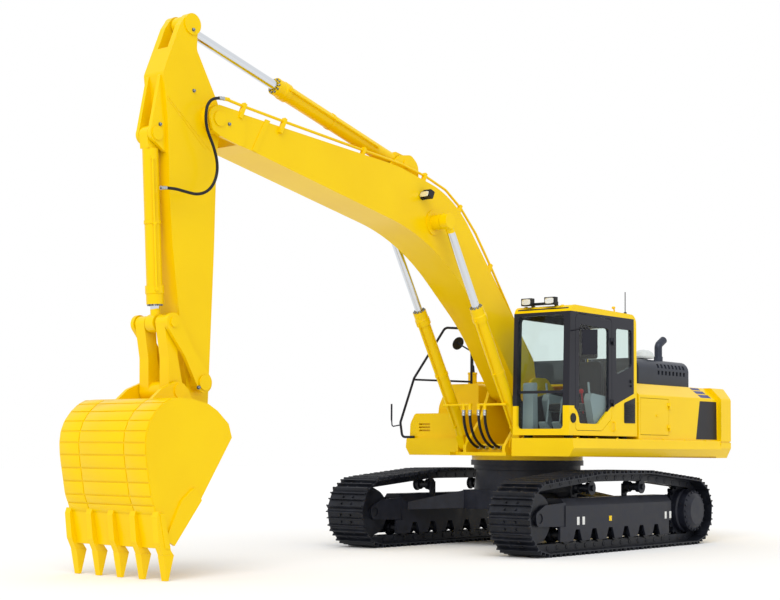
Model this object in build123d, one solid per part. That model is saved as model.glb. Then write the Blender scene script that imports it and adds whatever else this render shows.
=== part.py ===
from build123d import *
import math
import os

os.makedirs("parts", exist_ok=True)

# Crawler excavator, millimetres. +X forward, +Y to the cab side, +Z up.
# The origin is the slewing axis at ground level.

# Tracks
GAUGE = 2590
SHOE_WIDTH = 600
TUMBLER_DISTANCE = 3700
SHOES = 45
PITCH_RADIUS = 366
LINK_HALF_HEIGHT = 47
LINK_RAIL_Y = (60, 105)
SHOE_THICKNESS = 13
GROUSER_HEIGHT = 36
TOP_RUN_RISE = 108
TOP_RUN_FLAT = 1200
SEAT_GAP = 0.3

# Rollers, idlers and sprockets
BOTTOM_ROLLERS = 7
BOTTOM_ROLLER_FIRST_X = -1120
BOTTOM_ROLLER_SPACING = 390
BOTTOM_ROLLER_RADIUS = 90
CARRIER_X = (-620, 620)
CARRIER_RADIUS = 72
CARRIER_SHAFT_HALF = 158
ROLLER_FLANGE = 16
SPROCKET_TEETH = 21
SPROCKET_WIDTH = 84
SPROCKET_TIP_OVER_PITCH = 16
SPROCKET_ROOT_UNDER_PITCH = 30
FINAL_DRIVE_RADIUS = 298
FINAL_DRIVE_FACE_Y = 1585

# Track frames and centre frame
FRAME_HALF_WIDTH = 170
FRAME_FRONT = 1300
FRAME_REAR = -1330
FRAME_BOTTOM = 346
FRAME_TOP = 690
GROUND_CLEARANCE = 498
PEDESTAL_RADIUS = 690
SLEW_RADIUS = 762
SLEW_BOTTOM = 1020
SLEW_TOP = 1149

# Revolving frame and decks
HOUSE_FLOOR = 1209
FLOOR_SKIN = 45
DECK_FOLD = 1313
DECK_TOP = 1437
DECK_HALF_WIDTH = 1497
DECK_INNER = 560
LEFT_DECK_FRONT = 1170
RIGHT_DECK_FRONT = 777
HOUSE_REAR = -2745
UPRIGHT_Y = (292, 338)

# Boom foot, cylinders' base pins
BOOM_FOOT = (200, 2060)
BOOM_CYLINDER_BASE = (791, 1375)
BOOM_CYLINDER_Y = 455
PIN_RADIUS = 50
RUN_CLEAR = 0.05

# Boom, in its own axes: along the line of its end pins, and square to it
BOOM_LENGTH = 6470
BOOM_ANGLE = 24.36
BOOM_HALF_WIDTH = 250
NOSE_HALF_WIDTH = 270
NOSE_SLOT_HALF = 226
NOSE_SLOT_RADIUS = 375
BOOM_OUTLINE = (  # along, across, corner radius
    (30, 160, 0), (190, 384, 150), (2633, 1446, 1500), (3764, 1178, 2500), (BOOM_LENGTH - 280, 252, 260),
    (BOOM_LENGTH + 90, 90, 0), (BOOM_LENGTH + 10, -160, 0), (BOOM_LENGTH - 90, -158, 0),
    (BOOM_LENGTH - 590, -22, 900), (2850, 714, 3000), (1250, 310, 3000), (243, -188, 160), (0, -165, 0))
BOOM_STRIP = (  # splice plate across the side near the nose
    (BOOM_LENGTH - 660, 420), (BOOM_LENGTH - 590, 398), (BOOM_LENGTH - 560, -20), (BOOM_LENGTH - 630, -5))
BOOM_FOOT_RADIUS = 172
BOOM_CYLINDER_TOP = (2848, 930)
BOOM_BOSS_RADIUS = 95
ARM_CYLINDER_BASE = (3511, 1381)

# Pipes and lamp on the boom, in the boom's axes
BOOM_PIPE_RADIUS = 16
BOOM_PIPE_BEND = 300
BOOM_PIPE_ROUTE = (  # along, across, and out from the middle
    (690, 690, 170), (1058, 880, 170), (1479, 1094, 170), (1955, 1320, 170), (2367, 1449, 170), (2731, 1490, 170),
    (3151, 1425, 170), (3633, 1298, 170), (BOOM_LENGTH - 2180, 1046, 200), (BOOM_LENGTH - 856, 542, 260),
    (BOOM_LENGTH - 269, 335, 260), (BOOM_LENGTH - 28, 256, 260))
BOOM_SADDLES = (0, 2, 4, 6, 8, 9, 10)
BOOM_LAMP = (3189, 1118)

# Arm, in its own axes: along from the boom pin to the bucket pin, and square to it
ARM_LENGTH = 3185
ARM_ANGLE = -86.78
ARM_HALF_WIDTH = 150
ARM_BOSS_HALF = 220
ARM_OUTLINE = (
    (-985, 262, 70), (-690, 262, 100), (-235, -53, 300), (-60, -155, 120), (320, -100, 900), (1363, -139, 0),
    (ARM_LENGTH - 210, -172, 400), (ARM_LENGTH + 30, -160, 60), (ARM_LENGTH + 62, 40, 60),
    (ARM_LENGTH - 225, 110, 150), (ARM_LENGTH - 826, 238, 300), (ARM_LENGTH - 1228, 325, 500), (1457, 430, 600),
    (953, 510, 0), (140, 602, 200), (-340, 700, 80), (-890, 512, 60), (-1000, 445, 60), (-1012, 330, 60))
ARM_CYLINDER_TOP = (-940, 345)
BUCKET_CYLINDER_BASE = (295, 700)
CYLINDER_EAR_Y = (67, 112)
CYLINDER_EAR_RADIUS = 92
ROCKER_BOSS_RADIUS = 95
ROCKER_Y = (232, 276)
ROCKER_FOOT = (ARM_LENGTH - 405, 9)
ROCKER_HEAD = (ARM_LENGTH - 976, 474)
ARM_HEAD_RADIUS = 112
PIN_CAP_RADIUS = 80
PIN_CAP = 14

# Hose beside the arm's head, in side view
HOSE_Y = 314
HOSE_RADIUS = 16
ARC_SHARE = 0.45
ARM_HOSE_ROUTE = (
    (6075, 4936), (6210, 4928), (6313, 4838), (6335, 4700), (6312, 4566), (6210, 4406), (6149, 4226), (6175, 4065),
    (6272, 3936), (6425, 3874), (6590, 3882), (6767, 3898), (6927, 3876))

HOSE_ARM_Y = (70, 170)
HOSE_ARM_END = (1215, 1868)
BASE_HOSE_RADIUS = 19
BASE_HOSE_ROUTE = (
    (1215, 1800), (1215, 1700), (1192, 1590), (1140, 1480), (1058, 1392), (957, 1332), (872, 1314), (822, 1314))
HOSE_START = (ARM_HOSE_ROUTE[0][0], HOSE_Y, ARM_HOSE_ROUTE[0][1])
HOSE_SECOND = (ARM_HOSE_ROUTE[1][0], HOSE_Y, ARM_HOSE_ROUTE[1][1])

# Bucket and its linkage, measured from the bucket pin in the ground's axes
BUCKET_EAR = (327, 311)
BUCKET_EAR_Y = (236, 280)
BUCKET_HALF_WIDTH = 652
LIP_HALF_WIDTH = 700
BUCKET_SIDE_THICKNESS = 25
BUCKET_SKIN = 22
TEETH_Y = (-654, -327, 0, 327, 654)
TOOTH_ROOT = (755, 885, 1300.3)
TOOTH_TIP = (812, 838, 1546.7)
BUCKET_BACK = (  # outer face of the back sheet, from the top lip round to the cutting edge
    (155, 107), (280, 172), (480, 212), (650, 226), (770, 212), (870, 165), (965, 85), (1039, -10), (1080, -110),
    (1093, -220), (1085, -340), (1062, -470), (1011, -735), (938, -908))

# Cylinders, millimetres; the tubes' angles are about the barrel, share is the barrel's part of the length
EYE_HALF_WIDTH = 55
EYE_SIDE_GAP = 5
BOOM_CYLINDER = {"barrel": 82, "rod": 50, "share": 0.625, "eye_half": EYE_HALF_WIDTH, "eye_radius": 95,
                 "foot_half": EYE_HALF_WIDTH, "foot_radius": 95, "retract": 1020, "tubes": (180,), "tube_low": 300}
ARM_CYLINDER = {"barrel": 94, "rod": 55, "share": 0.608, "eye_half": 62, "eye_radius": 100,
                "foot_half": 90, "foot_radius": 110, "retract": 1180, "tubes": (90, -90), "tube_low": 520}
BUCKET_CYLINDER = {"barrel": 82, "rod": 50, "share": 0.9, "eye_half": 60, "eye_radius": 95,
                   "foot_half": 62, "foot_radius": 90, "retract": 84, "tubes": (60,), "tube_low": 250}
GLAND_OVER = 14
GLAND_LENGTH = 190
ROD_CLEAR = 0.06
FOOT_CLEAR = 55
TUBE_RADIUS = 12
TUBE_OFFSET = 22
BAND_OVER = 7
BAND_HALF = 18

# Cab
CAB_FRONT = 1148
CAB_REAR = -508
CAB_LEFT = 1416
CAB_RIGHT = 562
CAB_FLOOR = 1474
CAB_TOP = 3117
CAB_WALL = 45
DOOR_FRONT = 1010
DOOR_REAR = 130
WINDOW_BAR_Z = 2020
ROOF_FALL = 30
DOOR_PIN = (DOOR_REAR - 4, CAB_LEFT + 20)
DOOR_HINGE_Z = (1900, 2700)

# Door hinges
KNUCKLE_HEIGHT = 45
KNUCKLE_RADIUS = 11
KNUCKLE_PIN = 5
SIDE_PIN_OUT = 15
SIDE_HINGE_Z = (1600, 1900)

# Rear body
BODY_LEFT = 1430
BODY_TOP = 2200
BODY_FOLD = 2035
COUNTERWEIGHT_FRONT = HOUSE_REAR - SEAT_GAP
COUNTERWEIGHT_BOTTOM = 1189
COUNTERWEIGHT_TOP = 2200
TAIL_RADIUS = 3430
LIFT_EYE_X = -3060
LIFT_EYE_Y = 640
LIFT_EYE_Z = 2275
LIFT_EYE_HALF = 20
LIFT_EYE_RADIUS = 34
TAIL_CORNER = 40
SEAM_Z = 1420
SEAM_WIDTH = 14
SEAM_DEPTH = 14
BODY_SLOPE = 210
BODY_INNER = 640
BODY_WALL = 30
DOOR_GAP = 6
HOOD_FRONT = -1190
HOOD_REAR = -2620
HOOD_HALF_WIDTH = 1040
HOOD_TOP = 2575
HOOD_SKIN = 22
HOOD_PIN = (HOOD_REAR - 16, BODY_TOP + 16)
HOOD_HINGE_Y = (-500, 500)
EXHAUST = (-2075, 850)
EXHAUST_RADIUS = 55
PRECLEANER = (-1690, 830)
ANTENNA = (-330, 1340)
RAIL_RADIUS = 17
HOOD_DECK_FRONT = -560
HOOD_DECK_SKIN = 30
FIREWALL_X = -1505


def unit(angle):
    return (math.cos(math.radians(angle)), math.sin(math.radians(angle)))


def from_local(origin, angle, point):
    """A point given along and across a line, in side view."""
    c, s = unit(angle)
    return (origin[0] + point[0] * c - point[1] * s, origin[1] + point[0] * s + point[1] * c)


def at(axis, level, a, b):
    return {"x": (level, a, b), "y": (a, level, b), "z": (a, b, level)}[axis]


def rounded_face(axis, level, points):
    """A face square to one axis, each corner given as a, b and perhaps a radius."""
    corners = []
    count = len(points)
    for i, point in enumerate(points):
        here = Vector(point[0], point[1])
        radius = point[2] if len(point) > 2 else 0
        if radius == 0:
            corners.append((here, here, None))
            continue
        back = (Vector(*points[i - 1][:2]) - here).normalized()
        ahead = (Vector(*points[(i + 1) % count][:2]) - here).normalized()
        half = math.radians(back.get_angle(ahead)) / 2
        run = radius / math.tan(half)
        centre = here + (back + ahead).normalized() * (radius / math.sin(half))
        middle = centre + (here - centre).normalized() * radius
        corners.append((here + back * run, here + ahead * run, middle))
    edges = []
    for i, (start, end, middle) in enumerate(corners):
        if middle is not None:
            edges.append(ThreePointArc(at(axis, level, start.X, start.Y),
                                       at(axis, level, middle.X, middle.Y),
                                       at(axis, level, end.X, end.Y)))
        following = corners[(i + 1) % count][0]
        if (following - end).length > 1e-6:
            edges.append(Line(at(axis, level, end.X, end.Y),
                              at(axis, level, following.X, following.Y)))
    return Face(Wire(edges))


def plate(axis, low, high, points):
    return Solid.extrude(rounded_face(axis, low, points), Vector(*at(axis, high - low, 0, 0)))


def block(x0, x1, y0, y1, z0, z1):
    return Solid.make_box(x1 - x0, y1 - y0, z1 - z0, Plane((x0, y0, z0)))


def bar(start, end, radius):
    line = Vector(*end) - Vector(*start)
    return Solid.make_cylinder(radius, line.length, Plane(origin=start, z_dir=line))


def disc(axis, low, high, centre, radius):
    return bar(at(axis, low, *centre), at(axis, high, *centre), radius)


def turned(start, end, profile):
    """A round piece about the line from start to end: profile pairs of distance and radius."""
    line = Vector(*end) - Vector(*start)
    plane = Plane(origin=start, z_dir=line)
    points = [plane.from_local_coords(Vector(r, 0, d)) for d, r in profile]
    face = Face(Wire.make_polygon(points))
    return Solid.revolve(face, 360, Axis(plane.origin, plane.z_dir))


def pipe(points, radius, bend):
    path = FilletPolyline(*points, radius=bend) if len(points) > 2 else Line(*points)
    return sweep(Plane(origin=path @ 0, z_dir=path % 0) * Circle(radius), path=path).solid()


def fuse(*shapes):
    first, *rest = shapes
    result = first.fuse(*rest) if rest else first
    return result.clean()


def save(name, *shapes):
    solids = []
    for shape in shapes:
        solids.extend(shape.solids())
    compound = Compound(solids) if len(solids) > 1 else solids[0]
    compound.label = name
    export_step(compound, f"parts/{name}.step")


# The loop that the link pins follow
GROUND_TO_PIN = LINK_HALF_HEIGHT + SHOE_THICKNESS + GROUSER_HEIGHT
AXLE_HEIGHT = GROUND_TO_PIN + PITCH_RADIUS
HALF_TUMBLER = TUMBLER_DISTANCE / 2
TOP_PIN = AXLE_HEIGHT + PITCH_RADIUS
RAIL_TOP = GROUND_TO_PIN + LINK_HALF_HEIGHT


def loop_point(distance):
    """A point of the pin loop, from the sprocket's bottom forward and round."""
    slope = (TUMBLER_DISTANCE - TOP_RUN_FLAT) / 2
    ramp = math.hypot(slope, TOP_RUN_RISE)
    turn = math.pi * PITCH_RADIUS
    stretches = (TUMBLER_DISTANCE, turn, ramp, TOP_RUN_FLAT, ramp, turn)
    index = 0
    while distance > stretches[index] and index < 5:
        distance -= stretches[index]
        index += 1
    share = distance / stretches[index]
    flat = TOP_RUN_FLAT / 2
    if index == 0:
        return (-HALF_TUMBLER + distance, GROUND_TO_PIN)
    if index in (1, 5):
        side = 1 if index == 1 else -1
        angle = math.pi * share - math.pi / 2 if side == 1 else math.pi / 2 + math.pi * share
        return (side * HALF_TUMBLER + PITCH_RADIUS * math.cos(angle),
                AXLE_HEIGHT + PITCH_RADIUS * math.sin(angle))
    if index == 2:
        return (HALF_TUMBLER - slope * share, TOP_PIN + TOP_RUN_RISE * share)
    if index == 3:
        return (flat - distance, TOP_PIN + TOP_RUN_RISE)
    return (-flat - slope * share, TOP_PIN + TOP_RUN_RISE * (1 - share))


def loop_pins():
    slope = (TUMBLER_DISTANCE - TOP_RUN_FLAT) / 2
    length = (TUMBLER_DISTANCE + TOP_RUN_FLAT + 2 * math.hypot(slope, TOP_RUN_RISE)
              + 2 * math.pi * PITCH_RADIUS)
    return [loop_point(length * i / SHOES) for i in range(SHOES)]


def offset_pins(pins, offset):
    """The loop moved outward, at each pin along the mean of its two links' normals."""
    result = []
    for i, (x, z) in enumerate(pins):
        before, after = pins[i - 1], pins[(i + 1) % len(pins)]
        run = Vector(after[0] - before[0], after[1] - before[1]).normalized()
        result.append((x + run.Y * offset, z - run.X * offset))
    return result


def track(centre_y):
    pins = loop_pins()
    inner = LINK_HALF_HEIGHT
    plate_out = LINK_HALF_HEIGHT + SHOE_THICKNESS
    tip = plate_out + GROUSER_HEIGHT
    joint = inner + 4
    shoe_profile = (  # share of the link, height over the pin line
        (0.035, tip), (0.09, tip), (0.12, plate_out), (0.46, plate_out), (0.485, tip), (0.53, tip),
        (0.56, plate_out), (0.85, plate_out), (0.88, tip), (0.935, tip), (0.965, plate_out))
    outer = []
    joints = offset_pins(pins, joint)
    for i, (x, z) in enumerate(pins):
        nx, nz = pins[(i + 1) % SHOES]
        outer.append(joints[i])
        length = math.hypot(nx - x, nz - z)
        ux, uz = (nx - x) / length, (nz - z) / length
        for share, height in shoe_profile:
            outer.append((x + (nx - x) * share + uz * height, z + (nz - z) * share - ux * height))
    half = SHOE_WIDTH / 2
    shoes = plate("y", centre_y - half, centre_y + half, outer)
    shoes = shoes.cut(plate("y", centre_y - half - 1, centre_y + half + 1, offset_pins(pins, inner)))
    rails = []
    rail_in = offset_pins(pins, -LINK_HALF_HEIGHT)
    rail_out = offset_pins(pins, inner + 1)
    for side in (-1, 1):
        low, high = sorted(centre_y + side * y for y in LINK_RAIL_Y)
        rails.append(plate("y", low, high, rail_out).cut(plate("y", low - 1, high + 1, rail_in)))
    return fuse(shoes, *rails)


def roller(x, z, radius, centre_y, shaft_half):
    """A double-flanged roller on its shaft."""
    inner, outer = LINK_RAIL_Y
    flange = radius + ROLLER_FLANGE
    profile = ((-shaft_half, 0), (-shaft_half, 38), (-outer - 22, 38), (-outer - 22, flange),
               (-outer - 6, flange), (-outer - 6, radius), (-inner + 6, radius), (-inner + 14, radius - 22),
               (inner - 14, radius - 22), (inner - 6, radius), (outer + 6, radius), (outer + 6, flange),
               (outer + 22, flange), (outer + 22, 38), (shaft_half, 38), (shaft_half, 0))
    base = (x, centre_y, z)
    return turned(base, (x, centre_y + 1, z), profile)


def bottom_roller_xs():
    return [BOTTOM_ROLLER_FIRST_X + BOTTOM_ROLLER_SPACING * i for i in range(BOTTOM_ROLLERS)]


BOTTOM_ROLLER_Z = RAIL_TOP + BOTTOM_ROLLER_RADIUS + SEAT_GAP
CARRIER_Z = TOP_PIN + TOP_RUN_RISE - LINK_HALF_HEIGHT - CARRIER_RADIUS - SEAT_GAP - 9
IDLER_RADIUS = PITCH_RADIUS * math.cos(math.radians(17.2)) - LINK_HALF_HEIGHT - SEAT_GAP - 1


def idler(centre_y):
    x = HALF_TUMBLER
    inner, outer = LINK_RAIL_Y
    profile = ((-150, 0), (-150, 62), (-126, 62), (-outer - 8, 70), (-outer - 8, IDLER_RADIUS), (-inner + 6, IDLER_RADIUS),
               (-inner + 6, IDLER_RADIUS + 24), (inner - 6, IDLER_RADIUS + 24), (inner - 6, IDLER_RADIUS),
               (outer + 8, IDLER_RADIUS), (outer + 8, 70), (126, 62), (150, 62), (150, 0))
    return turned((x, centre_y, AXLE_HEIGHT), (x, centre_y + 1, AXLE_HEIGHT), profile)


def sprocket(centre_y):
    """A toothed ring on the drive's flange, its teeth between the rails."""
    points = []
    tip = PITCH_RADIUS + SPROCKET_TIP_OVER_PITCH
    root = PITCH_RADIUS - SPROCKET_ROOT_UNDER_PITCH
    step = 360 / SPROCKET_TEETH
    for i in range(SPROCKET_TEETH):
        for share, radius in ((-0.34, root), (-0.12, tip), (0.12, tip), (0.34, root)):
            c, s = unit((i + share) * step)
            points.append((-HALF_TUMBLER + radius * c, AXLE_HEIGHT + radius * s))
    half = SPROCKET_WIDTH / 2
    return plate("y", centre_y - half, centre_y + half, points)


def final_drive(side):
    x = -HALF_TUMBLER
    centre = GAUGE / 2
    face = FINAL_DRIVE_FACE_Y
    r = FINAL_DRIVE_RADIUS
    inside = centre - 190
    outside = centre + SPROCKET_WIDTH / 2
    hub = turned((x, 0, AXLE_HEIGHT), (x, 1, AXLE_HEIGHT),
                 ((outside, 0), (outside, r), (outside + 70, r), (outside + 90, r - 20),
                  (face - 60, r - 20), (face - 25, r - 60), (face, r - 110), (face, 0)))
    motor = turned((x, 0, AXLE_HEIGHT), (x, 1, AXLE_HEIGHT),
                   ((inside - 130, 0), (inside - 130, 150), (inside, 190),
                    (centre - SPROCKET_WIDTH / 2, 190), (centre - SPROCKET_WIDTH / 2, 0)))
    pair = [hub, motor]
    return pair if side > 0 else [piece.mirror(Plane.XZ) for piece in pair]


def track_frame(side):
    """The long box beam with its idler fork, carrier posts and drive bracket."""
    y = GAUGE / 2
    w = FRAME_HALF_WIDTH
    body = plate("x", FRAME_REAR, FRAME_FRONT, (
        (y - w, FRAME_BOTTOM), (y + w, FRAME_BOTTOM), (y + w, FRAME_TOP - 90), (y + w - 70, FRAME_TOP),
        (y - w + 70, FRAME_TOP), (y - w, FRAME_TOP - 90)))
    pieces = [body]
    for low, high in ((y - 160, y - 134), (y + 134, y + 160)):
        pieces.append(plate("y", low, high, (
            (FRAME_FRONT - 20, FRAME_BOTTOM), (HALF_TUMBLER + 60, FRAME_BOTTOM + 20, 60),
            (HALF_TUMBLER + 90, AXLE_HEIGHT + 60, 60), (HALF_TUMBLER - 120, FRAME_TOP - 70, 80),
            (FRAME_FRONT - 20, FRAME_TOP - 50))))
    for low, high in ((y - w, y - SPROCKET_WIDTH / 2 - 34),):
        pieces.append(plate("y", low, high, (
            (FRAME_REAR + 20, FRAME_BOTTOM + 30), (-HALF_TUMBLER - 60, AXLE_HEIGHT - 190, 150),
            (-HALF_TUMBLER - 130, AXLE_HEIGHT + 150, 120), (-HALF_TUMBLER + 60, AXLE_HEIGHT + 200, 120),
            (FRAME_REAR + 20, FRAME_TOP - 60))))
    for x in CARRIER_X:
        pieces.append(block(x - 55, x + 55, y - 160, y - 136, FRAME_TOP - 100, CARRIER_Z + 40))
    frame = fuse(*pieces)
    frame = frame.cut(disc("y", y - 400, y + 400, (HALF_TUMBLER, AXLE_HEIGHT), 62 + RUN_CLEAR))
    frame = frame.cut(disc("y", y - 400, y + 400, (-HALF_TUMBLER, AXLE_HEIGHT), 190 + SEAT_GAP))
    for x in CARRIER_X:
        frame = frame.cut(disc("y", y - 170, y - 100, (x, CARRIER_Z), 38 + RUN_CLEAR))
    return frame if side > 0 else frame.mirror(Plane.XZ)


def roller_guards(side):
    """The side plates that carry the roller shafts, with V-shaped openings."""
    y = GAUGE / 2
    guards = []
    low_edge = BOTTOM_ROLLER_Z - 70
    for inner, outer in ((y - FRAME_HALF_WIDTH, y - FRAME_HALF_WIDTH + 30),
                         (y + FRAME_HALF_WIDTH - 30, y + FRAME_HALF_WIDTH)):
        guard = block(FRAME_REAR + 60, FRAME_FRONT + 120, inner, outer, low_edge, FRAME_BOTTOM)
        for x in bottom_roller_xs()[:-1]:
            middle = x + BOTTOM_ROLLER_SPACING / 2
            guard = guard.cut(plate("y", inner - 1, outer + 1, (
                (middle - 105, low_edge - 1), (middle + 105, low_edge - 1),
                (middle + 45, FRAME_BOTTOM - 40, 15), (middle - 45, FRAME_BOTTOM - 40, 15))))
        for x in bottom_roller_xs():
            guard = guard.cut(disc("y", inner - 1, outer + 1, (x, BOTTOM_ROLLER_Z), 38 + RUN_CLEAR))
        guards.append(guard)
    return guards if side > 0 else [guard.mirror(Plane.XZ) for guard in guards]


def centre_frame():
    """The middle box with the slewing pedestal and the four legs to the track frames."""
    top = FRAME_TOP + 60
    middle = plate("z", GROUND_CLEARANCE, top, ((760, 560, 80), (760, -560, 80), (-760, -560, 80), (-760, 560, 80)))
    pedestal = turned((0, 0, top - 20), (0, 0, top), (
        (0, 0), (0, PEDESTAL_RADIUS + 30), (SLEW_BOTTOM - top + 20, PEDESTAL_RADIUS),
        (SLEW_BOTTOM - top + 20, 0)))
    legs = []
    inner_face = GAUGE / 2 - FRAME_HALF_WIDTH
    for sx in (-1, 1):
        for sy in (-1, 1):
            leg = Solid.make_loft([
                Wire.make_polygon([(sx * 160, sy * 480, GROUND_CLEARANCE + 10), (sx * 740, sy * 480, GROUND_CLEARANCE + 10),
                                   (sx * 740, sy * 480, top), (sx * 160, sy * 480, top)], close=True),
                Wire.make_polygon([(sx * 560, sy * inner_face, FRAME_BOTTOM + 130), (sx * 1180, sy * inner_face, FRAME_BOTTOM + 130),
                                   (sx * 1180, sy * inner_face, FRAME_TOP - 110), (sx * 560, sy * inner_face, FRAME_TOP - 110)],
                                  close=True)], True)
            legs.append(leg)
    return fuse(middle, pedestal, *legs)


def slew_ring():
    ring = turned((0, 0, SLEW_BOTTOM), (0, 0, SLEW_BOTTOM + 1), (
        (0, PEDESTAL_RADIUS - 120), (0, SLEW_RADIUS - 40), (60, SLEW_RADIUS - 40), (60, SLEW_RADIUS),
        (SLEW_TOP - SLEW_BOTTOM, SLEW_RADIUS), (SLEW_TOP - SLEW_BOTTOM, PEDESTAL_RADIUS - 120)))
    return ring


def undercarriage():
    save("centre_frame", centre_frame())
    save("slew_ring", slew_ring())
    y = GAUGE / 2
    for name, side in (("left", 1), ("right", -1)):
        save(f"track_{name}", track(side * y))
    sides = (1, -1)
    save("track_frames", *[track_frame(side) for side in sides])
    save("roller_guards", *[guard for side in sides for guard in roller_guards(side)])
    bottom = [roller(x, BOTTOM_ROLLER_Z, BOTTOM_ROLLER_RADIUS, side * y, FRAME_HALF_WIDTH)
              for side in sides for x in bottom_roller_xs()]
    carriers = [roller(x, CARRIER_Z, CARRIER_RADIUS, side * y, CARRIER_SHAFT_HALF)
                for side in sides for x in CARRIER_X]
    save("track_rollers", *bottom, *carriers)
    save("idlers", idler(y), idler(-y))
    save("sprockets", sprocket(y), sprocket(-y))
    save("final_drives", *final_drive(1), *final_drive(-1))


def deck_section(y_in, y_out):
    """The side beam's section: flat top, bevelled foot, inner side open to the frame."""
    return ((y_in, HOUSE_FLOOR), (y_out - 67, HOUSE_FLOOR), (y_out, DECK_FOLD), (y_out - 14, DECK_TOP, 14),
            (y_in, DECK_TOP))


def revolving_frame():
    """Floor, side decks, the boom's uprights and the brackets of the boom cylinders."""
    left = plate("x", HOUSE_REAR, LEFT_DECK_FRONT, deck_section(DECK_INNER, DECK_HALF_WIDTH))
    right = plate("x", HOUSE_REAR, RIGHT_DECK_FRONT, deck_section(DECK_INNER, DECK_HALF_WIDTH)).mirror(Plane.XZ)
    floor = block(HOUSE_REAR, 1010, -DECK_INNER, DECK_INNER, HOUSE_FLOOR, HOUSE_FLOOR + FLOOR_SKIN)
    ring_seat = disc("z", SLEW_TOP + SEAT_GAP, HOUSE_FLOOR + 5, (0, 0), SLEW_RADIUS - 10)
    fx, fz = BOOM_FOOT
    cx, cz = BOOM_CYLINDER_BASE
    hose_end, hose_z = BASE_HOSE_ROUTE[-1]
    hose_block = block(hose_end - 60, hose_end - SEAT_GAP, -230, 230, HOUSE_FLOOR + 20, hose_z + 50)
    pieces = [left, right, floor, ring_seat, hose_block]
    for side in (-1, 1):
        low, high = sorted(side * y for y in UPRIGHT_Y)
        pieces.append(plate("y", low, high, (
            (-1500, HOUSE_FLOOR + 20), (1000, HOUSE_FLOOR + 20), (1000, HOUSE_FLOOR + 120, 60),
            (fx + 430, fz - 330, 300), (fx + 175, fz + 190, 170), (fx - 175, fz + 190, 170),
            (-700, HOUSE_FLOOR + 420, 200), (-1500, HOUSE_FLOOR + 260))))
        for y_in, y_out in ((BOOM_CYLINDER_Y - 117, BOOM_CYLINDER_Y - 62), (BOOM_CYLINDER_Y + 62, BOOM_CYLINDER_Y + 92)):
            low, high = sorted((side * y_in, side * y_out))
            pieces.append(plate("y", low, high, (
                (cx - 330, HOUSE_FLOOR + 20), (cx + 60, HOUSE_FLOOR + 20), (cx + 128, cz - 50, 50),
                (cx + 100, cz + 105, 90), (cx - 100, cz + 105, 90))))
    frame = fuse(*pieces)
    frame = frame.cut(disc("y", -400, 400, BOOM_FOOT, PIN_RADIUS + RUN_CLEAR))
    for side in (-1, 1):
        low, high = sorted((side * (BOOM_CYLINDER_Y - 130), side * (BOOM_CYLINDER_Y + 100)))
        frame = frame.cut(disc("y", low, high, BOOM_CYLINDER_BASE, PIN_RADIUS + RUN_CLEAR))
        low, high = sorted((side * (BOOM_CYLINDER_Y - 61), side * (BOOM_CYLINDER_Y + 61)))
        frame = frame.cut(block(cx - 200, cx + 215, low, high, HOUSE_FLOOR + 46, cz + 200))
        low, high = sorted((side * (BOOM_CYLINDER_Y - 95), side * (BOOM_CYLINDER_Y + 95)))
        frame = frame.cut(block(cx + 90, cx + 400, low, high, HOUSE_FLOOR - 1, cz + 200))
    return frame


def capped_pin(centre, cap_start, cap_radius=None):
    """A pin with a flange at each end, the flanges starting at the stated distance from the middle."""
    end = cap_start + PIN_CAP
    radius = cap_radius or PIN_CAP_RADIUS
    return fuse(disc("y", -end, end, centre, PIN_RADIUS), disc("y", -end, -cap_start, centre, radius),
                disc("y", cap_start, end, centre, radius))


def frame_pins():
    """The boom's foot pin and the two base pins of the boom cylinders."""
    pins = [capped_pin(BOOM_FOOT, UPRIGHT_Y[1] + SEAT_GAP)]
    for side in (-1, 1):
        low, high = sorted((side * (BOOM_CYLINDER_Y - 117), side * (BOOM_CYLINDER_Y + 100)))
        pins.append(disc("y", low, high, BOOM_CYLINDER_BASE, PIN_RADIUS))
    return pins


def roof_height(x):
    """Height of the roof's flat stretch, which falls towards the rear."""
    front, rear = CAB_FRONT - 30, CAB_REAR + 20
    return CAB_TOP - ROOF_FALL * (front - x) / (front - rear)


def hinge(x, y, z, face_y):
    """A door's knuckle with its pin, and the jamb's knuckle below it that the pin turns in."""
    half = KNUCKLE_HEIGHT
    door = fuse(
        disc("z", z, z + half, (x, y), KNUCKLE_RADIUS), disc("z", z - half + 2, z + 1, (x, y), KNUCKLE_PIN),
        plate("z", z, z + half, ((x, y + 6), (x, y - 6), (x + 12, face_y - 1), (x + 50, face_y - 1),
                                 (x + 50, face_y + 8))))
    jamb = fuse(
        disc("z", z - half, z - SEAT_GAP, (x, y), KNUCKLE_RADIUS),
        plate("z", z - half, z - SEAT_GAP, ((x, y + 6), (x - 50, face_y + 8), (x - 50, face_y - 1),
                                            (x - 6, face_y - 1), (x, y - 6))))
    return door, jamb.cut(disc("z", z - half - 1, z + 1, (x, y), KNUCKLE_PIN + RUN_CLEAR))


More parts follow.
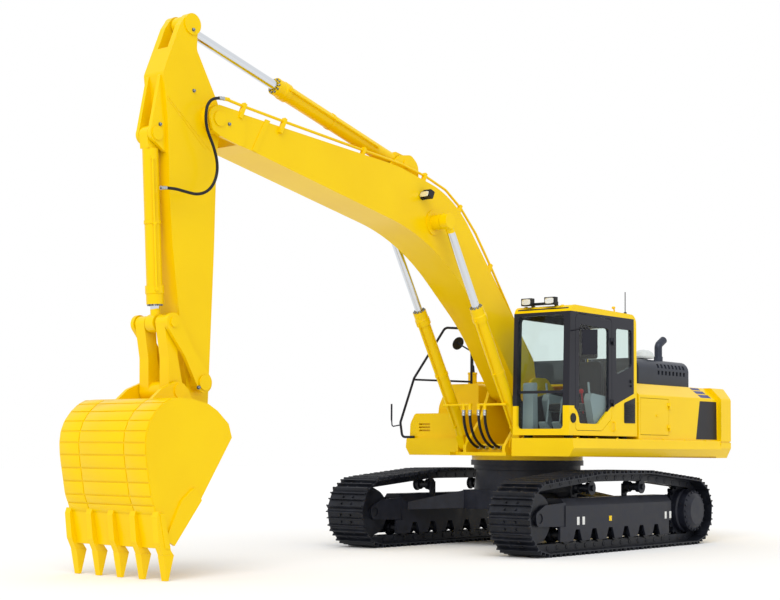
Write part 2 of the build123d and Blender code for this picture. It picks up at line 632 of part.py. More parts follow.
def cab_shell():
    """Hollow cab: outer form less the room inside, then the windows and the doorway."""
    profile = ((CAB_FRONT, CAB_FLOOR), (CAB_FRONT, 2000), (CAB_FRONT - 30, CAB_TOP, 110),
               (CAB_REAR + 20, CAB_TOP - ROOF_FALL, 130), (CAB_REAR, CAB_FLOOR))
    w = CAB_WALL
    room = ((CAB_FRONT - w, CAB_FLOOR + w), (CAB_FRONT - w, 2000), (CAB_FRONT - 30 - w, CAB_TOP - w, 70),
            (CAB_REAR + 20 + w, CAB_TOP - ROOF_FALL - w, 90), (CAB_REAR + w, CAB_FLOOR + w))
    shell = plate("y", CAB_RIGHT, CAB_LEFT, profile)
    shell = shell.cut(plate("y", CAB_RIGHT + w, CAB_LEFT - w, room))
    front_window = plate("x", CAB_FRONT - 150, CAB_FRONT + 50, (
        (CAB_RIGHT + 60, CAB_FLOOR + 80, 50), (CAB_LEFT - 95, CAB_FLOOR + 80, 50),
        (CAB_LEFT - 95, CAB_TOP - 130, 60), (CAB_RIGHT + 60, CAB_TOP - 130, 60)))
    doorway = plate("y", CAB_LEFT - w - 5, CAB_LEFT + 5, (
        (DOOR_FRONT, CAB_FLOOR + 60, 60), (DOOR_FRONT, CAB_TOP - 105, 90), (DOOR_REAR, CAB_TOP - 125, 60),
        (DOOR_REAR, CAB_FLOOR + 220, 100), (DOOR_REAR + 250, CAB_FLOOR + 60, 120)))
    quarter_window = plate("y", CAB_LEFT - w - 5, CAB_LEFT + 5, (
        (25, 2270, 40), (25, 2880, 40), (-370, 2880, 40), (-370, 2400, 60)))
    right_window = plate("y", CAB_RIGHT - 5, CAB_RIGHT + w + 5, (
        (CAB_FRONT - 110, CAB_FLOOR + 420, 60), (CAB_FRONT - 140, CAB_TOP - 150, 60),
        (CAB_REAR + 120, CAB_TOP - 160, 60), (CAB_REAR + 120, CAB_FLOOR + 700, 60)))
    rear_window = plate("x", CAB_REAR - 5, CAB_REAR + w + 40, (
        (CAB_RIGHT + 100, CAB_FLOOR + 780, 60), (CAB_LEFT - 100, CAB_FLOOR + 780, 60),
        (CAB_LEFT - 100, CAB_TOP - 180, 60), (CAB_RIGHT + 100, CAB_TOP - 180, 60)))
    for opening in (front_window, doorway, quarter_window, right_window, rear_window):
        shell = shell.cut(opening)
    jambs = [hinge(*DOOR_PIN, z, CAB_LEFT)[1] for z in DOOR_HINGE_Z]
    return fuse(shell, window_bar(), *jambs)


def glass_panes():
    """The fixed panes, each standing in its frame with a small gap."""
    gap = SEAT_GAP
    t = 6
    w = CAB_WALL / 2
    front = plate("x", CAB_FRONT - 30 - w, CAB_FRONT - 30 - w + t, (
        (CAB_RIGHT + 60 + gap, CAB_FLOOR + 80 + gap, 50), (CAB_LEFT - 95 - gap, CAB_FLOOR + 80 + gap, 50),
        (CAB_LEFT - 95 - gap, CAB_TOP - 130 - gap, 60), (CAB_RIGHT + 60 + gap, CAB_TOP - 130 - gap, 60)))
    quarter = plate("y", CAB_LEFT - w, CAB_LEFT - w + t, (
        (25 - gap, 2271, 40), (25 - gap, 2880 - gap, 40), (-370 + gap, 2880 - gap, 40), (-370 + gap, 2401, 60)))
    right = plate("y", CAB_RIGHT + w, CAB_RIGHT + w + t, (
        (CAB_FRONT - 111, CAB_FLOOR + 422, 60), (CAB_FRONT - 141, CAB_TOP - 151, 60),
        (CAB_REAR + 121, CAB_TOP - 161, 60), (CAB_REAR + 121, CAB_FLOOR + 702, 60)))
    rear = plate("x", CAB_REAR + w, CAB_REAR + w + t, (
        (CAB_RIGHT + 100 + gap, CAB_FLOOR + 780 + gap, 60), (CAB_LEFT - 100 - gap, CAB_FLOOR + 780 + gap, 60),
        (CAB_LEFT - 100 - gap, CAB_TOP - 180 - gap, 60), (CAB_RIGHT + 100 + gap, CAB_TOP - 180 - gap, 60)))
    half_bar = 18 + SEAT_GAP
    upper = front.cut(block(CAB_FRONT - 200, CAB_FRONT, 0, 2000, CAB_FLOOR, WINDOW_BAR_Z + half_bar))
    lower = front.cut(block(CAB_FRONT - 200, CAB_FRONT, 0, 2000, WINDOW_BAR_Z - half_bar, CAB_TOP))
    return [upper, lower, quarter, right, rear]


def window_bar():
    """The bar between the two front panes."""
    x = CAB_FRONT - 30 - CAB_WALL / 2
    return block(x - 8, x + 14, CAB_RIGHT + 55, CAB_LEFT - 90, WINDOW_BAR_Z - 18, WINDOW_BAR_Z + 18)


def cab_mounts():
    """Rubber mounts between the deck and the cab."""
    return [disc("z", DECK_TOP + SEAT_GAP, CAB_FLOOR - SEAT_GAP, (x, y), 55)
            for x in (CAB_REAR + 150, CAB_FRONT - 180) for y in (CAB_RIGHT + 120, CAB_LEFT - 130)]


def cab_door():
    """The door frame in its doorway, with its window cut, and the pane."""
    g = 6
    y0, y1 = CAB_LEFT - 38, CAB_LEFT
    door = plate("y", y0, y1, (
        (DOOR_FRONT - g, CAB_FLOOR + 60 + g, 56), (DOOR_FRONT - g, CAB_TOP - 105 - g, 86),
        (DOOR_REAR + g, CAB_TOP - 125 - g, 56), (DOOR_REAR + g, CAB_FLOOR + 220 + g, 96),
        (DOOR_REAR + 250, CAB_FLOOR + 60 + g, 116)))
    window = ((DOOR_FRONT - 90, CAB_FLOOR + 150, 50), (DOOR_FRONT - 90, CAB_TOP - 240, 60),
              (DOOR_REAR + 80, CAB_TOP - 255, 50), (DOOR_REAR + 80, CAB_FLOOR + 330, 120),
              (DOOR_REAR + 330, CAB_FLOOR + 150, 150))
    door = door.cut(plate("y", y0 - 5, y1 + 5, window))
    pane = plate("y", y0 + 14, y0 + 20, window)
    knuckles = [hinge(*DOOR_PIN, z, CAB_LEFT)[0] for z in DOOR_HINGE_Z]
    return fuse(door, *knuckles), pane


def seat():
    base = block(160, 560, 770, 1190, CAB_FLOOR + CAB_WALL + SEAT_GAP, CAB_FLOOR + 300)
    cushion = plate("y", 720, 1240, (
        (105.3, CAB_FLOOR + 300.3, 20), (640, CAB_FLOOR + 300.3, 30), (655, CAB_FLOOR + 430, 50),
        (105.3, CAB_FLOOR + 420, 30)))
    back = plate("y", 740, 1220, (
        (105, CAB_FLOOR + 310, 30), (105, CAB_FLOOR + 420), (60, CAB_FLOOR + 1010, 40), (-60, CAB_FLOOR + 1010, 40),
        (-10, CAB_FLOOR + 310, 40)))
    head = plate("y", 850, 1110, (
        (30, CAB_FLOOR + 1010.3, 20), (50, CAB_FLOOR + 1240, 40), (-60, CAB_FLOOR + 1250, 40),
        (-40, CAB_FLOOR + 1010.3, 20)))
    return base, cushion, back, head


def cab_consoles():
    """Side consoles with levers, pedals and the monitor."""
    floor = CAB_FLOOR + CAB_WALL + SEAT_GAP
    pieces = []
    for y in (661, 1305):
        console = plate("y", y - 50, y + 50, (
            (-200, floor), (430, floor), (560, floor + 420, 60), (520, floor + 500, 40), (-200, floor + 430, 60)))
        lever = bar((500, y, floor + 470), (530, y, floor + 640), 14)
        pieces.append(fuse(console, lever))
    for y in (880, 1080):
        pedal = fuse(plate("y", y - 50, y + 50, ((780, floor), (900, floor), (960, floor + 120), (930, floor + 130))),
                     bar((860, y, floor + 40), (800, y, floor + 420), 10))
        pieces.append(pedal)
    monitor = plate("y", 611, 770, (
        (880, floor), (1000, floor), (985, floor + 620, 30), (900, floor + 640, 30)))
    pieces.append(monitor)
    return pieces


BODY_FRONT = CAB_REAR - 22
BODY_REAR = HOUSE_REAR
RIGHT_BODY_FRONT = -1300
BODY_DOOR_BOTTOM = DECK_TOP + 60
BODY_DOOR_TOP = BODY_FOLD - 40


def side_body(front, door_front, door_rear):
    """A hollow side compartment with its doorway and sloped top band, on the left side."""
    wall = BODY_WALL
    slope_y = BODY_LEFT - BODY_SLOPE
    outer = ((BODY_INNER, DECK_TOP + SEAT_GAP), (BODY_LEFT, DECK_TOP + SEAT_GAP), (BODY_LEFT, BODY_FOLD, 20),
             (slope_y, BODY_TOP, 60), (BODY_INNER, BODY_TOP))
    inner = ((BODY_INNER + wall, DECK_TOP + wall), (BODY_LEFT - wall, DECK_TOP + wall),
             (BODY_LEFT - wall, BODY_FOLD - 14), (slope_y - 16, BODY_TOP - wall), (BODY_INNER + wall, BODY_TOP - wall))
    body = plate("x", BODY_REAR, front, outer)
    body = body.cut(plate("x", BODY_REAR + wall, front - wall, inner))
    doorway = block(door_rear, door_front, BODY_LEFT - wall - 5, BODY_LEFT + 5, BODY_DOOR_BOTTOM, BODY_DOOR_TOP)
    jambs = [hinge(door_rear, BODY_LEFT + SIDE_PIN_OUT, z, BODY_LEFT)[1] for z in SIDE_HINGE_Z]
    return fuse(body.cut(doorway), *jambs)


def side_door(door_front, door_rear):
    g = DOOR_GAP
    panel = block(door_rear + g, door_front - g, BODY_LEFT - 28, BODY_LEFT, BODY_DOOR_BOTTOM + g, BODY_DOOR_TOP - g)
    knuckles = [hinge(door_rear, BODY_LEFT + SIDE_PIN_OUT, z, BODY_LEFT)[0] for z in SIDE_HINGE_Z]
    return fuse(panel, *knuckles)


LEFT_DOOR_X = (-570, -1340)
RIGHT_DOOR_X = (-1360, -2240)


def radiator():
    return block(LEFT_DOOR_X[1], LEFT_DOOR_X[0] - 120, 900, 1150, DECK_TOP + BODY_WALL + SEAT_GAP, BODY_FOLD - 40)


def hydraulic_tank():
    return plate("x", RIGHT_BODY_FRONT + 0.3, -560, (
        (-BODY_INNER, DECK_TOP + SEAT_GAP), (-BODY_INNER, BODY_TOP, 40), (-BODY_LEFT + BODY_SLOPE, BODY_TOP, 120),
        (-BODY_LEFT, BODY_FOLD, 60), (-BODY_LEFT, DECK_TOP + SEAT_GAP)))


def fuel_tank():
    tank = plate("x", -550, 250, (
        (-BODY_INNER, DECK_TOP + SEAT_GAP), (-BODY_INNER, 2195, 40), (-1180, 2195, 160), (-1325, 1900, 220),
        (-1380, DECK_TOP + SEAT_GAP)))
    neck = turned((0, -930, 2150), (0, -930, 2151), ((0, 0), (0, 62), (190, 62), (190, 70), (215, 66), (215, 0)))
    return fuse(tank, neck)


def toolbox():
    box = plate("x", 255, 700, (
        (-BODY_INNER, DECK_TOP + SEAT_GAP), (-BODY_INNER, 1780, 20), (-1400, 1780, 60), (-1480, 1640, 120), (-1488, DECK_TOP + SEAT_GAP)))
    for z in (1535, 1578, 1621):
        box = box.cut(block(660, 705, -1325, -1134, z, z + 22))
    return box


def engine_block():
    return block(-2420, -1560, -560, 560, HOUSE_FLOOR + 45 + SEAT_GAP, BODY_TOP - 60)


def hood_deck():
    """The cover between the side bodies, open under the hood, and the wall before the engine."""
    half = BODY_INNER - SEAT_GAP
    deck = block(BODY_REAR, HOOD_DECK_FRONT, -half, half, BODY_TOP - HOOD_DECK_SKIN, BODY_TOP)
    wall = block(FIREWALL_X - BODY_WALL, FIREWALL_X, -DECK_INNER + SEAT_GAP, DECK_INNER - SEAT_GAP,
                 HOUSE_FLOOR + FLOOR_SKIN + SEAT_GAP, BODY_TOP - HOOD_DECK_SKIN + 5)
    opening = block(HOOD_REAR + 60, FIREWALL_X - BODY_WALL - 40, -500, 500, BODY_TOP - 40, BODY_TOP + 5)
    x, z = HOOD_PIN
    deck = fuse(deck, wall).cut(opening)
    for y in HOOD_HINGE_Y:
        low, high = y - KNUCKLE_HEIGHT, y - SEAT_GAP
        knuckle = fuse(disc("y", low, high, HOOD_PIN, KNUCKLE_RADIUS), plate("y", low, high, (
            (x - 9, z), (x - 14, BODY_TOP - 2), (x + 8, BODY_TOP - 2), (x + 9, z))))
        deck = fuse(deck, knuckle.cut(disc("y", low - 1, high + 1, HOOD_PIN, KNUCKLE_PIN + RUN_CLEAR)))
    return deck


def engine_hood():
    """Rounded lid over the engine, hollow below, with rows of slots."""
    y = HOOD_HALF_WIDTH
    z0 = BODY_TOP + SEAT_GAP
    t = HOOD_SKIN
    outer = ((-y, z0), (-y, HOOD_TOP, 150), (y, HOOD_TOP, 150), (y, z0))
    inner = ((-y + t, z0 - 1), (-y + t, HOOD_TOP - t, 150 - t), (y - t, HOOD_TOP - t, 150 - t), (y - t, z0 - 1))
    hood = plate("x", HOOD_REAR, HOOD_FRONT, outer).cut(plate("x", HOOD_REAR + t, HOOD_FRONT - t, inner))
    for i in range(8):
        x = HOOD_REAR + 110 + i * 105
        for side in (-1, 1):
            side_y = sorted((side * (y - 60), side * (y + 10)))
            top_y = sorted((side * (y - 270), side * (y - 190)))
            hood = hood.cut(block(x, x + 50, *side_y, HOOD_TOP - 120, HOOD_TOP - 62))
            hood = hood.cut(block(x, x + 50, *side_y, HOOD_TOP - 215, HOOD_TOP - 157))
            hood = hood.cut(block(x, x + 50, *top_y, HOOD_TOP - 60, HOOD_TOP + 10))
    x, z = HOOD_PIN
    for y in HOOD_HINGE_Y:
        high = y + KNUCKLE_HEIGHT
        hood = fuse(hood, disc("y", y, high, HOOD_PIN, KNUCKLE_RADIUS),
                    disc("y", y - KNUCKLE_HEIGHT + 2, y + 1, HOOD_PIN, KNUCKLE_PIN),
                    plate("y", y, high, ((x, z - 8), (HOOD_REAR + 1, z - 8), (HOOD_REAR + 1, z + 14), (x, z + 8))))
    return hood


def tail_plan(radius, half_width, low, high):
    """The round tail seen from above, as a slab between two levels."""
    x0 = COUNTERWEIGHT_FRONT
    corner = -math.sqrt(radius ** 2 - half_width ** 2) + TAIL_CORNER
    face = Face(Wire([
        Line((x0, half_width, low), (x0, -half_width, low)), Line((x0, -half_width, low), (corner, -half_width, low)),
        ThreePointArc((corner, -half_width, low), (-radius, 0, low), (corner, half_width, low)),
        Line((corner, half_width, low), (x0, half_width, low))]))
    return Solid.extrude(face, Vector(0, 0, high - low))


def counterweight():
    """Cast rear weight: round tail seen from above, bevelled corners, seam over the foot, lifting eyes."""
    x0 = COUNTERWEIGHT_FRONT
    half = DECK_HALF_WIDTH
    bottom, top = COUNTERWEIGHT_BOTTOM, COUNTERWEIGHT_TOP
    body = tail_plan(TAIL_RADIUS, half, bottom, top + 5)
    profile = plate("y", -half - 100, half + 100, (
        (x0 + 1, bottom), (250 - TAIL_RADIUS, bottom, 120), (-TAIL_RADIUS - 20, bottom + 231, 60),
        (-TAIL_RADIUS - 20, top - 80, 60), (230 - TAIL_RADIUS, top, 100), (x0 + 1, top)))
    section = plate("x", -TAIL_RADIUS - 500, 0, (
        (97 - half, bottom - 5), (half - 97, bottom - 5), (half, bottom + 141, 40), (half, BODY_FOLD, 60),
        (half - 167, top + 1, 60), (167 - half, top + 1, 60), (-half, BODY_FOLD, 60), (-half, bottom + 141, 40)))
    body = body.intersect(profile)[0].intersect(section)[0]
    low, high = SEAM_Z - SEAM_WIDTH / 2, SEAM_Z + SEAM_WIDTH / 2
    seam = tail_plan(TAIL_RADIUS + 100, half + 100, low, high).cut(
        tail_plan(TAIL_RADIUS - SEAM_DEPTH, half - SEAM_DEPTH, low - 1, high + 1))
    body = body.cut(seam)
    lugs = []
    for side in (-1, 1):
        low, high = sorted((side * (LIFT_EYE_Y - LIFT_EYE_HALF), side * (LIFT_EYE_Y + LIFT_EYE_HALF)))
        lugs.append(plate("y", low, high, (
            (LIFT_EYE_X - 90, top - 5), (LIFT_EYE_X + 90, top - 5),
            (LIFT_EYE_X + 60, LIFT_EYE_Z + 60, 55), (LIFT_EYE_X - 60, LIFT_EYE_Z + 60, 55))))
    body = fuse(body, *lugs)
    return body.cut(disc("y", -LIFT_EYE_Y - 50, LIFT_EYE_Y + 50, (LIFT_EYE_X, LIFT_EYE_Z), LIFT_EYE_RADIUS))


def small_fittings():
    """Exhaust, precleaner, lamps, mirrors and handrail of the revolving body."""
    x, y = EXHAUST
    base = HOOD_TOP + SEAT_GAP
    stack = pipe(((x, y, base), (x, y, base + 225), (x - 150, y, base + 310)), EXHAUST_RADIUS, 1.3 * EXHAUST_RADIUS)
    save("exhaust_pipe", fuse(stack, disc("z", base, base + 60, EXHAUST, EXHAUST_RADIUS + 9)))
    save("air_precleaner", turned((*PRECLEANER, base), (*PRECLEANER, base + 1), (
        (0, 0), (0, 60), (14, 60), (20, 146), (48, 150), (96, 128), (130, 80), (144, 0))))
    lamps = []
    for y in (761, 1114):
        body = block(1068, 1142, y - 78, y + 78, CAB_TOP + 6, CAB_TOP + 100)
        foot = plate("y", y - 12, y + 12, (
            (930, roof_height(930) + SEAT_GAP), (990, roof_height(990) + SEAT_GAP), (1070, CAB_TOP + 30),
            (1070, CAB_TOP + 80), (1040, CAB_TOP + 74)))
        lamps += [body, foot]
    lamp_bar = block(1044, 1069, 690, 1185, CAB_TOP + 10, CAB_TOP + 44)
    save("cab_lamps", fuse(lamp_bar, *lamps))
    x, y = ANTENNA
    base = roof_height(x + 20) + SEAT_GAP
    save("cab_antenna", fuse(disc("z", base, base + 30, ANTENNA, 20), disc("z", base + 25, base + 300, ANTENNA, 6)))
    rail = pipe(((740, -1380, 1454.5), (740, -1590, 1454.5), (740, -1625, 1656), (700, -1417, 2271),
                 (600, -955, 2958), (200, -800, 2962), (200, -800, 2196)), RAIL_RADIUS, 60)
    save("handrail", fuse(rail, bar((702, -1424, 2250), (200, -800, 2225), RAIL_RADIUS - 3)))
    stalk = pipe(((740, -1636.6, 1620), (740, -1775, 1600), (740, -1785, 1720)), 9, 30)
    glass = Solid.make_box(24, 170, 230, Plane((-12, -85, -115))).rotate(Axis.Z, -51).moved(
        Location((740, -1785, 1800)))
    post = turned((0, -930, 2365 + SEAT_GAP), (0, -930, 2366), ((0, 0), (0, 34), (90, 26), (110, 14), (300, 12), (300, 0)))
    centre = Vector(0, -1190, 2788)
    face_axis = Vector(0.2, 0.9, -0.4).normalized()
    face = turned(centre, centre + face_axis, ((-12, 0), (-12, 60), (0, 95), (12, 95), (12, 0)))
    arm_bar = bar((0, -930, 2655), centre - face_axis * 4, 11)
    side_arm = pipe(((1085, CAB_LEFT + 1.8, 2780), (1085, CAB_LEFT + 130, 2800), (1062, 1655, 2815),
                     (1060, 1662, 2700)), 9, 35)
    side_glass = Solid.make_box(40, 190, 310, Plane((-20, -95, -155))).rotate(Axis.Z, 30).moved(
        Location((1060, 1662, 2630)))
    save("mirrors", fuse(stalk, glass), fuse(post, arm_bar, face), fuse(side_arm, side_glass))


ARM_PIN = from_local(BOOM_FOOT, BOOM_ANGLE, (BOOM_LENGTH, 0))
BUCKET_PIN = from_local(ARM_PIN, ARM_ANGLE, (ARM_LENGTH, 0))
BOOM_CYLINDER_EYE = from_local(BOOM_FOOT, BOOM_ANGLE, BOOM_CYLINDER_TOP)
ARM_CYLINDER_FOOT = from_local(BOOM_FOOT, BOOM_ANGLE, ARM_CYLINDER_BASE)
ARM_CYLINDER_EYE = from_local(ARM_PIN, ARM_ANGLE, ARM_CYLINDER_TOP)
BUCKET_CYLINDER_FOOT = from_local(ARM_PIN, ARM_ANGLE, BUCKET_CYLINDER_BASE)
ROCKER_PIN = from_local(ARM_PIN, ARM_ANGLE, ROCKER_FOOT)
LINK_PIN = from_local(ARM_PIN, ARM_ANGLE, ROCKER_HEAD)
EAR_PIN = (BUCKET_PIN[0] + BUCKET_EAR[0], BUCKET_PIN[1] + BUCKET_EAR[1])


def boom_points(points):
    return [(*from_local(BOOM_FOOT, BOOM_ANGLE, p[:2]), *p[2:]) for p in points]


def arm_points(points):
    return [(*from_local(ARM_PIN, ARM_ANGLE, p[:2]), *p[2:]) for p in points]


def boom():
    """The banana-shaped box beam, forked at its nose, with bosses and cylinder brackets."""
    w = BOOM_HALF_WIDTH
    beam = plate("y", -w, w, boom_points(BOOM_OUTLINE))
    foot = disc("y", -w - 36, w + 36, BOOM_FOOT, BOOM_FOOT_RADIUS)
    cheeks = [plate("y", *sorted((s * (w - 5), s * NOSE_HALF_WIDTH)), boom_points((
        (BOOM_LENGTH - 450, -76, 60), (BOOM_LENGTH - 90, -155, 0), (BOOM_LENGTH + 30, -160, 60),
        (BOOM_LENGTH + 170, 0, 120), (BOOM_LENGTH + 70, 130, 60), (BOOM_LENGTH - 300, 270, 80))))
        for s in (-1, 1)]
    boss_end = BOOM_CYLINDER_Y - EYE_HALF_WIDTH - EYE_SIDE_GAP
    top_boss = disc("y", -boss_end, boss_end, BOOM_CYLINDER_EYE, BOOM_BOSS_RADIUS)
    boss_ring = disc("y", -w - 14, w + 14, BOOM_CYLINDER_EYE, BOOM_BOSS_RADIUS + 60)
    ear_x, ear_z = ARM_CYLINDER_BASE
    ears = [plate("y", *sorted((s * 100, s * 140)), boom_points((
        (ear_x - 380, ear_z - 231), (ear_x - 211, ear_z + 119, 150), (ear_x - 40, ear_z + 150, 110),
        (ear_x + 129, ear_z + 39, 110), (ear_x + 289, ear_z - 231)))) for s in (-1, 1)]
    ribs = [plate("y", *sorted((s * (w - 5), s * (w + 8))), boom_points(BOOM_STRIP)) for s in (-1, 1)]
    solid = fuse(beam, foot, *cheeks, top_boss, boss_ring, *ears, *ribs)
    solid = solid.cut(disc("y", -NOSE_SLOT_HALF, NOSE_SLOT_HALF, ARM_PIN, NOSE_SLOT_RADIUS))
    solid = solid.cut(disc("y", -600, 600, BOOM_FOOT, PIN_RADIUS + RUN_CLEAR))
    solid = solid.cut(disc("y", -600, 600, ARM_PIN, PIN_RADIUS + RUN_CLEAR))
    solid = solid.cut(disc("y", -600, 600, ARM_CYLINDER_FOOT, PIN_RADIUS + RUN_CLEAR))
    return solid


def boom_pipes(boom_solid):
    """The two steel pipes along the boom's back, on saddles."""
    groups = []
    for side in (-1, 1):
        path = []
        for along, across, y in BOOM_PIPE_ROUTE:
            x, z = from_local(BOOM_FOOT, BOOM_ANGLE, (along, across))
            path.append((x, side * y, z))
        pieces = [pipe(path, BOOM_PIPE_RADIUS, BOOM_PIPE_BEND)]
        for i in BOOM_SADDLES:
            along, across, y = BOOM_PIPE_ROUTE[i]
            low, high = sorted((side * (y - 20), side * (y + 30)))
            saddle = plate("y", low, high, boom_points((
                (along + 3, across - 160), (along + 43, across - 160), (along + 43, across + 24),
                (along + 3, across + 24))))
            pieces.append(saddle.cut(boom_solid).solid())
        if side > 0:
            run = (Vector(*HOSE_SECOND) - Vector(*HOSE_START)).normalized()
            end, elbow, tip = Vector(*path[-1]), Vector(*HOSE_START) - run * 70, Vector(*HOSE_START) - run * SEAT_GAP
            pieces += [bar(end, elbow, BOOM_PIPE_RADIUS), bar(elbow, tip, HOSE_RADIUS + 5)]
        groups.append(fuse(*pieces))
    return groups


def boom_lamp():
    along, across = BOOM_LAMP
    face = BOOM_HALF_WIDTH + SEAT_GAP
    bracket = plate("y", face, face + 46, boom_points((
        (along - 22, across - 60), (along + 22, across - 60), (along + 22, across + 40), (along - 22, across + 40))))
    body = plate("y", face + 40, face + 150, boom_points((
        (along - 40, across - 52, 12), (along + 48, across - 44, 12), (along + 48, across + 44, 12),
        (along - 40, across + 52, 12))))
    return fuse(bracket, body)


def boom_pins():
    return [capped_pin(ARM_PIN, NOSE_HALF_WIDTH + SEAT_GAP), disc("y", -154, 154, ARM_CYLINDER_FOOT, PIN_RADIUS)]


def side_tube(start, line, barrel_radius, angle, low, high):
    """The oil tube beside a barrel with its two ports, and the band that holds it."""
    upward = Vector(-line.Z, 0, line.X)
    out = upward * math.cos(math.radians(angle)) + Vector(0, 1, 0) * math.sin(math.radians(angle))
    reach = barrel_radius + TUBE_OFFSET
    pieces = [bar(start + line * low + out * reach, start + line * high + out * reach, TUBE_RADIUS)]
    for distance in (low, (low + high) / 2, high):
        foot = start + line * distance + out * (barrel_radius - 10)
        pieces.append(bar(foot, start + line * distance + out * (reach + TUBE_RADIUS + 2), TUBE_RADIUS + 6))
    return pieces


def cylinder(foot, eye, y, size):
    """A barrel with its foot eye, gland and oil tubes, and a rod with its head eye."""
    start, end = Vector(foot[0], y, foot[1]), Vector(eye[0], y, eye[1])
    line = (end - start).normalized()
    length = (end - start).length
    radius, foot_radius, foot_half = size["barrel"], size["foot_radius"], size["foot_half"]
    barrel_end = length * size["share"]
    gland_start = barrel_end - GLAND_LENGTH
    gland = radius + GLAND_OVER
    neck = foot_radius + FOOT_CLEAR
    middle = (size["tube_low"] + gland_start) / 2
    barrel = turned(start, end, (
        (neck, 0), (neck, radius), (middle - BAND_HALF, radius), (middle - BAND_HALF, radius + BAND_OVER),
        (middle + BAND_HALF, radius + BAND_OVER), (middle + BAND_HALF, radius), (gland_start, radius),
        (gland_start, gland), (gland_start + 80, gland), (gland_start + 90, gland - 8),
        (barrel_end, gland - 8), (barrel_end, 0)))
    foot_eye = disc("y", y - foot_half, y + foot_half, foot, foot_radius)
    angle = math.degrees(math.atan2(line.Z, line.X))
    lug = plate("y", y - foot_half, y + foot_half, [from_local(foot, angle, point) for point in (
        (0, -foot_radius), (neck + 1, 1 - radius), (neck + 1, radius - 1), (0, foot_radius))])
    tubes = [piece for turn in size["tubes"]
             for piece in side_tube(start, line, radius, turn, size["tube_low"], gland_start + 40)]
    barrel = fuse(barrel, foot_eye, lug, *tubes)
    barrel = barrel.cut(disc("y", y - foot_half - 1, y + foot_half + 1, foot, PIN_RADIUS + RUN_CLEAR))
    bore = bar(start + line * (neck + 40), start + line * (barrel_end + 1), size["rod"] + ROD_CLEAR)
    barrel = barrel.cut(bore)
    rod = bar(start + line * (neck + 60 + size["retract"]), end - line * (size["eye_radius"] - 30), size["rod"])
    head = disc("y", y - size["eye_half"], y + size["eye_half"], eye, size["eye_radius"])
    return barrel, fuse(rod, head)


def hose_arm(side):
    """The steel arm that carries two hose ends from a boom cylinder's band towards the middle."""
    start = Vector(BOOM_CYLINDER_BASE[0], side * BOOM_CYLINDER_Y, BOOM_CYLINDER_BASE[1])
    x, z = HOSE_ARM_END
    radius = BOOM_CYLINDER["barrel"]
    inner = side * (HOSE_ARM_Y[0] - 25)
    outer = side * (BOOM_CYLINDER_Y + radius - 30)
    pieces = [disc("y", *sorted((inner, outer)), HOSE_ARM_END, TUBE_RADIUS + 4)]
    for y in HOSE_ARM_Y:
        pieces.append(bar((x, side * y, z + 16), (x, side * y, BASE_HOSE_ROUTE[0][1] + SEAT_GAP), HOSE_RADIUS + 7))
    pieces.append(block(x - 60, x + 12, *sorted((side * (BOOM_CYLINDER_Y - 30), outer)), z - 14, z + 14))
    barrel = bar(start, Vector(BOOM_CYLINDER_EYE[0], side * BOOM_CYLINDER_Y, BOOM_CYLINDER_EYE[1]), radius + SEAT_GAP)
    return fuse(*pieces).cut(barrel).solid()


def bucket_points(points):
    return [(BUCKET_PIN[0] + p[0], BUCKET_PIN[1] + p[1], *p[2:]) for p in points]


def arm():
    """The box arm, narrower than its bosses, with a slot in its head and ears for the bucket cylinder."""
    w = ARM_HALF_WIDTH
    beam = plate("y", -w, w, arm_points(ARM_OUTLINE))
    boss = ARM_BOSS_HALF
    bosses = [disc("y", -boss, boss, ARM_PIN, 150), disc("y", -boss, boss, BUCKET_PIN, 135),
              disc("y", -boss, boss, ROCKER_PIN, ROCKER_BOSS_RADIUS),
              disc("y", -w - PIN_CAP, w + PIN_CAP, ARM_CYLINDER_EYE, ARM_HEAD_RADIUS)]
    along, across = BUCKET_CYLINDER_BASE
    ears = []
    for side in (-1, 1):
        low, high = sorted(side * y for y in CYLINDER_EAR_Y)
        ears.append(plate("y", low, high, arm_points((
            (-330, 640), (-322, 701, 20), (along - 30, across + 86, 60), (along + 60, across + 66, 50),
            (along + 165, 588, 60), (along + 165, 540), (-330, 600)))))
        ears.append(disc("y", low, high, BUCKET_CYLINDER_FOOT, CYLINDER_EAR_RADIUS))
    solid = fuse(beam, *bosses, *ears)
    top_slot = plate("y", -75, 75, arm_points((
        (-1200, 145), (-750, 145, 80), (-640, 400, 60), (-640, 760), (-1200, 760))))
    solid = solid.cut(top_slot)
    for centre in (ARM_PIN, BUCKET_CYLINDER_FOOT, ROCKER_PIN, BUCKET_PIN):
        solid = solid.cut(disc("y", -600, 600, centre, PIN_RADIUS + RUN_CLEAR))
    return solid


def hose(points, radius):
    """A tube of straight runs, each turn an arc as large as its two runs allow."""
    corners = [Vector(*point) for point in points]
    last = corners[0]
    edges = []
    for before, here, after in zip(corners, corners[1:], corners[2:]):
        run = ARC_SHARE * min((before - here).length, (after - here).length)
        back, ahead = (before - here).normalized(), (after - here).normalized()
        half = math.radians(back.get_angle(ahead)) / 2
        bend = run * math.tan(half)
        print("hose bend radius", round(bend))
        centre = here + (back + ahead).normalized() * (bend / math.sin(half))
        middle = centre + (here - centre).normalized() * bend
        edges.append(Line(last, here + back * run))
        last = here + ahead * run
        edges.append(ThreePointArc(here + back * run, middle, last))
    edges.append(Line(last, corners[-1]))
    path = Wire(edges)
    tube = sweep(Plane(origin=corners[0], z_dir=corners[1] - corners[0]) * Circle(radius), path=path).solid()
    print("hose length", round(path.length), "volume over section times length",
          round(tube.volume / (math.pi * radius ** 2 * path.length), 4))
    return tube


def arm_hose():
    """The hose from the boom's pipe to the bucket cylinder, and its two end fittings."""
    route = [(x, HOSE_Y, z) for x, z in ARM_HOSE_ROUTE]
    tube = hose(route, HOSE_RADIUS)
    return tube


